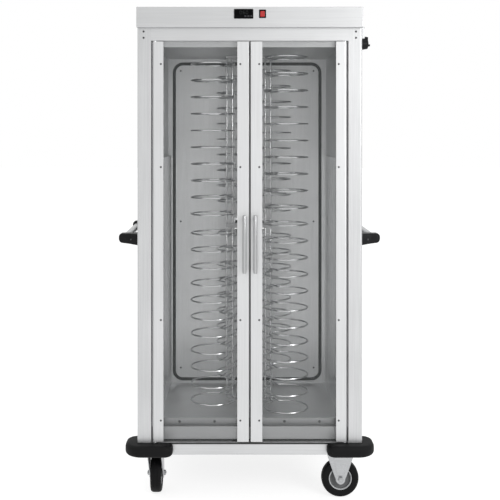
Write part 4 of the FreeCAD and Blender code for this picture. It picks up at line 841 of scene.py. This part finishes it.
TYRE_PROFILE = [(39, 16), (43, 17.8), (49, 18.8), (54, 19.0), (58, 18.2), (61, 15.8), (62.8, 12), (63.5, 7.2),
                (63.5, 6.4), (62.9, 6.0), (63.5, 5.6), (63.5, 0)]
RIM_PROFILE = [(5.1, 21), (11.5, 21), (12.8, 20), (13.2, 8), (16, 5.6), (32, 5.0), (34.5, 6.0), (35.2, 12)]
LIP_PROFILE = [(35.0, 11), (35.3, 15.2), (36.4, 16.0), (38.4, 16.0), (39.0, 15.6), (39.0, 11)]
AXLE_Z, CASTER_Y, FORK_INSIDE, FORK_THICK = 63.5, 225.0, 22.0, 3.0
LEFT_X, RIGHT_X, TRAIL = -320.0, 310.0, 40.0
CHEEK_HALF, CHEEK_FOOT, CHEEK_POINTS = 48.0, 17.0, 25
PLATE_FOOT, PLATE_TOP, PLATE_HALF_Y, PLATE_BOLT_Y = 165.0, 169.0, 44.0, 37.0
SWIVEL_TOP, CROWN_THICK, PEDAL_Z, PEDAL_HALF = 151.7, 3.0, 137.0, 21.0
AXLE_RADIUS, AXLE_HALF, NUT_START = 5.0, 26.0, 25.0


def mirrored_profile(profile):
    """A closed section from half of it, mirrored about the wheel's middle."""
    half = np.array(profile, float)
    whole = np.concatenate([half, half[::-1] * [1, -1]])
    return np.concatenate([whole, whole[:1]])


def turned_wheel(corner, centre, axis):
    """The tyre, rim and bright lips of a caster as turned surfaces."""
    body = corner + "_wheel"
    tyre = lathe(mirrored_profile(TYRE_PROFILE), axis, centre, 96)
    rim = lathe(mirrored_profile(RIM_PROFILE), axis, centre, 64)
    piece(corner + "_turned_tyre", [tyre], SKINS["tyre"], body, (corner + "_tyre",))
    piece(corner + "_turned_rim", [rim], SKINS["rim"], body, (corner + "_wheel",))
    lips = []
    for sign in (1, -1):
        section = np.array(LIP_PROFILE + LIP_PROFILE[:1]) * [1, sign]
        lips.append(lathe(section, axis, centre, 96))
    piece(corner + "_rim_lips", lips, SKINS["rim_lip"], body, ())


def cheek(top, lean, rib):
    """One pressed fork cheek: rows of sections from the top to the round foot about the axle.

    The half-width runs straight from the top to the foot's circle of radius r, then is
    sqrt(r^2 - (z - axle)^2).  The middle of each row leans towards the axle.  The face is raised by
    rib (3 w^2 - 2 w^3) over its middle and falls away by 2 t^2 at its rims.
    """
    foot_turn = np.linspace(0.45, -0.497 * math.pi, 14)
    levels = np.concatenate([[top, top - 2, top - 6, top - 12], np.linspace(top - 16, AXLE_Z + 10, 14),
                             AXLE_Z + CHEEK_FOOT * np.sin(foot_turn)])
    across = np.linspace(-1, 1, CHEEK_POINTS)
    rows = []
    for level in levels:
        share = np.clip((top - 12 - level) / (top - 12 - AXLE_Z), 0, 1)
        half = CHEEK_HALF + (CHEEK_FOOT - CHEEK_HALF) * share
        if level < AXLE_Z:
            half = math.sqrt(max(CHEEK_FOOT ** 2 - (level - AXLE_Z) ** 2, 0.01))
        lap = 2.0 * np.clip((np.abs(across) - 0.86) / 0.14, 0, 1) ** 2
        width = np.clip((0.62 - np.abs(across)) / 0.14, 0, 1)
        raised = rib * (3 * width ** 2 - 2 * width ** 3) * np.clip((level - AXLE_Z - 9) / 9, 0, 1)
        middle = lean * share
        front = np.column_stack([middle + across * half, FORK_THICK + raised - lap])
        back = np.column_stack([middle + across[::-1] * half, np.zeros(CHEEK_POINTS)])
        loop = np.concatenate([front, back])
        rows.append(np.column_stack([loop, np.full(len(loop), level)]))
    return loft(rows)


def hex_nut(start, sign):
    """A chamfered nut and a domed bolt end outside a cheek, along the first axis."""
    angle = np.arange(6) * TAU / 6
    rows = [[(start + sign * out, radius * math.cos(a), radius * math.sin(a)) for a in angle]
            for out, radius in ((0, 9.0), (5.2, 9.0), (6.4, 8.0))]
    stud = [(5, start), (5, start + sign * 7), (4.2, start + sign * 8), (0.01, start + sign * 8)]
    return [loft(rows), lathe(stud, "x", (0, 0, 0), 20)]


def laid(part, axis, place):
    """A part made with its axle along X, set at a place for a wheel that turns on an axis."""
    points, faces = part
    points = np.asarray(points, float)
    if axis == "y":
        points = points[:, [1, 0, 2]]
    return points + np.asarray(place, float), faces


def fork_parts(top, lean, rib):
    """Both cheeks and the crown plate of a fork, across X, its middle at x = y = 0."""
    points, faces = cheek(top, lean, rib)
    outward = np.column_stack([points[:, 1] + FORK_INSIDE, points[:, 0], points[:, 2]])
    half = FORK_INSIDE + FORK_THICK
    crown = soft_box((-half, -CHEEK_HALF, top - CROWN_THICK), (half, CHEEK_HALF, top), 1.4)
    return [(outward, faces), (outward * [-1, 1, 1], faces), crown]


def axle_parts():
    """The nuts at both ends of an axle and its shaft, along X through the origin."""
    nuts = [part for sign in (1, -1) for part in hex_nut(sign * NUT_START, sign)]
    return nuts + [round_bar((-AXLE_HALF, 0, 0), (AXLE_HALF, 0, 0), AXLE_RADIUS, 0, 24)]


def rigid_casters():
    """The right pair, whose forks stand still."""
    forks, axles = [], []
    for y in (-CASTER_Y, CASTER_Y):
        forks += [laid(part, "y", (RIGHT_X, y, 0)) for part in fork_parts(PLATE_FOOT, 0, 3.0)]
        axles += [laid(part, "y", (RIGHT_X, y, AXLE_Z)) for part in axle_parts()]
    piece("pressed_rigid_forks", forks, SKINS["zinc"], "cabinet", ("fixed_forks",))
    piece("rigid_axle_bolts", axles, SKINS["zinc"], "cabinet", ("fixed_axles",))


def swivel_casters():
    """The left pair: forks that trail, their axles and brake pedals."""
    for name, y in (("left_front", -CASTER_Y), ("left_rear", CASTER_Y)):
        body = name + "_swivel"
        forks = [laid(part, "x", (LEFT_X, y, 0)) for part in fork_parts(SWIVEL_TOP, TRAIL, 0.0)]
        race = [(28, 151.5), (28, 153.6), (27.2, 154.7), (7, 154.7), (7, 151.5), (28, 151.5)]
        forks.append(lathe(race, "z", (LEFT_X, y, 0), 48))
        start, end = ((x, y + TRAIL, PEDAL_Z) for x in (LEFT_X - NUT_START, LEFT_X + NUT_START))
        forks.append(round_bar(start, end, 3, 0.5, 20))
        piece(name + "_pressed_fork", forks, SKINS["zinc"], body, (name + "_fork",))
        bolts = [laid(part, "x", (LEFT_X, y + TRAIL, AXLE_Z)) for part in axle_parts()]
        piece(name + "_axle_bolt", bolts, SKINS["zinc"], body, (name + "_axle",))
        pedal = brake_pedal(LEFT_X, y + TRAIL, PEDAL_Z)
        piece(name + "_brake_pedal", pedal, SKINS["moulding"], name + "_brake", (name + "_brake",))


def brake_pedal(x, y, z):
    """A foot lever: a bent plate of changing thickness along a curve, rolled at its sides."""
    middle = np.array([(-4.5, 0.0), (2, 0.2), (12, -0.2), (22, -1.0), (30, -2.4), (37, -6.5), (43, -12.5),
                       (49, -19.0), (54, -24.4)])
    thick = np.array([3.0, 3.9, 4.0, 4.0, 3.8, 3.4, 3.0, 2.6, 2.0])
    way = np.gradient(middle, axis=0)
    way /= np.linalg.norm(way, axis=1)[:, None]
    normal = np.column_stack([-way[:, 1], way[:, 0]])
    rows = []
    for across, share in ((-21, 0.45), (-20.6, 0.75), (-19.6, 0.95), (-18, 1), (-16, 1),
                          (16, 1), (18, 1), (19.6, 0.95), (20.6, 0.75), (21, 0.45)):
        upper = middle + normal * (thick * share)[:, None]
        lower = middle - normal * (thick * share)[:, None]
        loop = np.concatenate([upper, lower[::-1]])
        rows.append(np.column_stack([np.full(len(loop), x + across), loop[:, 0] + y, loop[:, 1] + z]))
    hub = round_bar((x - PEDAL_HALF, y, z), (x + PEDAL_HALF, y, z), 5.9, 0.8, 28)
    return [loft(rows), hub]


def top_plates():
    """Fixing plates under the base; the left pair with its ball races and kingpins."""
    parts = []
    for y in (-CASTER_Y, CASTER_Y):
        for middle, half in ((RIGHT_X, 59), (LEFT_X, 52)):
            parts.append(soft_box((middle - half, y - PLATE_HALF_Y, PLATE_FOOT),
                                  (middle + half, y + PLATE_HALF_Y, PLATE_TOP), 1.2))
        head = [(0.01, 155), (30, 155), (33, 155.6), (34, 157), (34, 158.6), (32.6, 159.6), (32.6, 160.4),
                (34, 161.4), (34, 165)]
        parts.append(lathe(head, "z", (LEFT_X, y, 0), 56))
        pin = [(0.01, 145.7), (5.2, 145.7), (6, 146.5), (6, 155.5)]
        parts.append(lathe(pin, "z", (LEFT_X, y, 0), 28))
        for sx in (-1, 1):
            for sy in (-1, 1):
                for middle, reach in ((RIGHT_X, 47), (LEFT_X, 40)):
                    bolt = [(5.5, 165.2), (5.5, 162.6), (4.6, 161.6), (0.01, 161.6)]
                    parts.append(lathe(bolt, "z", (middle + sx * reach, y + sy * PLATE_BOLT_Y, 0), 16))
    piece("caster_top_plates", parts, SKINS["zinc"], "cabinet", ("caster_plates",))


for corner, y in (("left_front", -CASTER_Y), ("left_rear", CASTER_Y)):
    turned_wheel(corner, (LEFT_X, y + TRAIL, AXLE_Z), "x")
for corner, y in (("right_front", -CASTER_Y), ("right_rear", CASTER_Y)):
    turned_wheel(corner, (RIGHT_X, y, AXLE_Z), "y")
rigid_casters()
swivel_casters()
top_plates()


# ---------------------------------------- stage

FLOOR_GLOW, FLOOR_HALF, WORLD_LIGHT = 0.80, 30.0, 0.62


def seen_directly(tree):
    """One for camera, gloss and see-through rays and nought for the rest."""
    paths = tree.nodes.new("ShaderNodeLightPath")
    total = paths.outputs["Is Camera Ray"]
    for name in ("Is Glossy Ray", "Is Transmission Ray"):
        larger = tree.nodes.new("ShaderNodeMath")
        larger.operation = "MAXIMUM"
        tree.links.new(total, larger.inputs[0])
        tree.links.new(paths.outputs[name], larger.inputs[1])
        total = larger.outputs[0]
    return total


def pale_floor():
    """A pale surface that also glows for direct looks, so that it reads as white but keeps shadows."""
    made = bpy.data.materials.new("pale_floor")
    made.use_nodes = True
    tree = made.node_tree
    shader = tree.nodes["Principled BSDF"]
    shader.inputs["Base Color"].default_value = (0.5, 0.5, 0.5, 1)
    shader.inputs["Roughness"].default_value = 0.9
    shader.inputs["Specular IOR Level"].default_value = 0.0
    glow = tree.nodes.new("ShaderNodeMath")
    glow.operation = "MULTIPLY"
    glow.inputs[1].default_value = FLOOR_GLOW
    tree.links.new(seen_directly(tree), glow.inputs[0])
    shader.inputs["Emission Color"].default_value = (1, 1, 1, 1)
    tree.links.new(glow.outputs[0], shader.inputs["Emission Strength"])
    return made


def make_stage():
    """A pale floor and a white world of an even strength."""
    corners = [(x * FLOOR_HALF, y * FLOOR_HALF, 0) for x, y in ((-1, -1), (1, -1), (1, 1), (-1, 1))]
    floor = object_from("studio_floor", corners, [[0, 1, 2, 3]])
    floor.data.materials.append(pale_floor())
    world = bpy.data.worlds.new("studio")
    bpy.context.scene.world = world
    world.use_nodes = True
    tree = world.node_tree
    plain = tree.nodes["Background"]
    plain.inputs["Color"].default_value = (1, 1, 1, 1)
    plain.inputs["Strength"].default_value = WORLD_LIGHT
    white = tree.nodes.new("ShaderNodeBackground")
    white.inputs["Color"].default_value = (1, 1, 1, 1)
    white.inputs["Strength"].default_value = 1.0
    mixed = tree.nodes.new("ShaderNodeMixShader")
    tree.links.new(seen_directly(tree), mixed.inputs[0])
    tree.links.new(plain.outputs[0], mixed.inputs[1])
    tree.links.new(white.outputs[0], mixed.inputs[2])
    tree.links.new(mixed.outputs[0], tree.nodes["World Output"].inputs["Surface"])


def lamp(name, place, aim, width, power):
    """A soft square lamp that faces a point."""
    data = bpy.data.lights.new(name, "AREA")
    data.size = width
    data.energy = power
    made = bpy.data.objects.new(name, data)
    bpy.context.scene.collection.objects.link(made)
    made.location = place
    made.rotation_euler = (Vector(aim) - Vector(place)).to_track_quat("-Z", "Y").to_euler()


make_stage()
lamp("key_lamp", (2.1, -3.0, 1.9), (0, 0, 0.9), 1.4, 42)
lamp("fill_lamp", (-2.4, -3.2, 2.4), (0, 0, 0.8), 1.8, 3)
lamp("top_lamp", (0, 0.2, 3.6), (0, 0, 1.0), 2.0, 14)


# ---------------------------------------- camera

IMAGE = 500.0
FOCAL_PIXELS = 900.0
VANISH_X, HORIZON_Y = 231.5, 135.0
DISTANCE, EYE_X, EYE_HEIGHT = 3000.0, -61.0, 1235.0
SENSOR = 36.0


def make_camera():
    """The photograph's camera: level, so that uprights stay parallel, with the frame shifted."""
    data = bpy.data.cameras.new("camera")
    data.sensor_width = SENSOR
    data.lens = FOCAL_PIXELS / IMAGE * SENSOR
    data.shift_x = (IMAGE / 2 - VANISH_X) / IMAGE
    data.shift_y = (HORIZON_Y - IMAGE / 2) / IMAGE
    made = bpy.data.objects.new("camera", data)
    bpy.context.scene.collection.objects.link(made)
    made.location = (EYE_X * MM, (FRONT - DISTANCE) * MM, EYE_HEIGHT * MM)
    made.rotation_euler = (QUARTER, 0, 0)
    bpy.context.scene.camera = made


make_camera()
bpy.context.scene.view_settings.view_transform = "Standard"
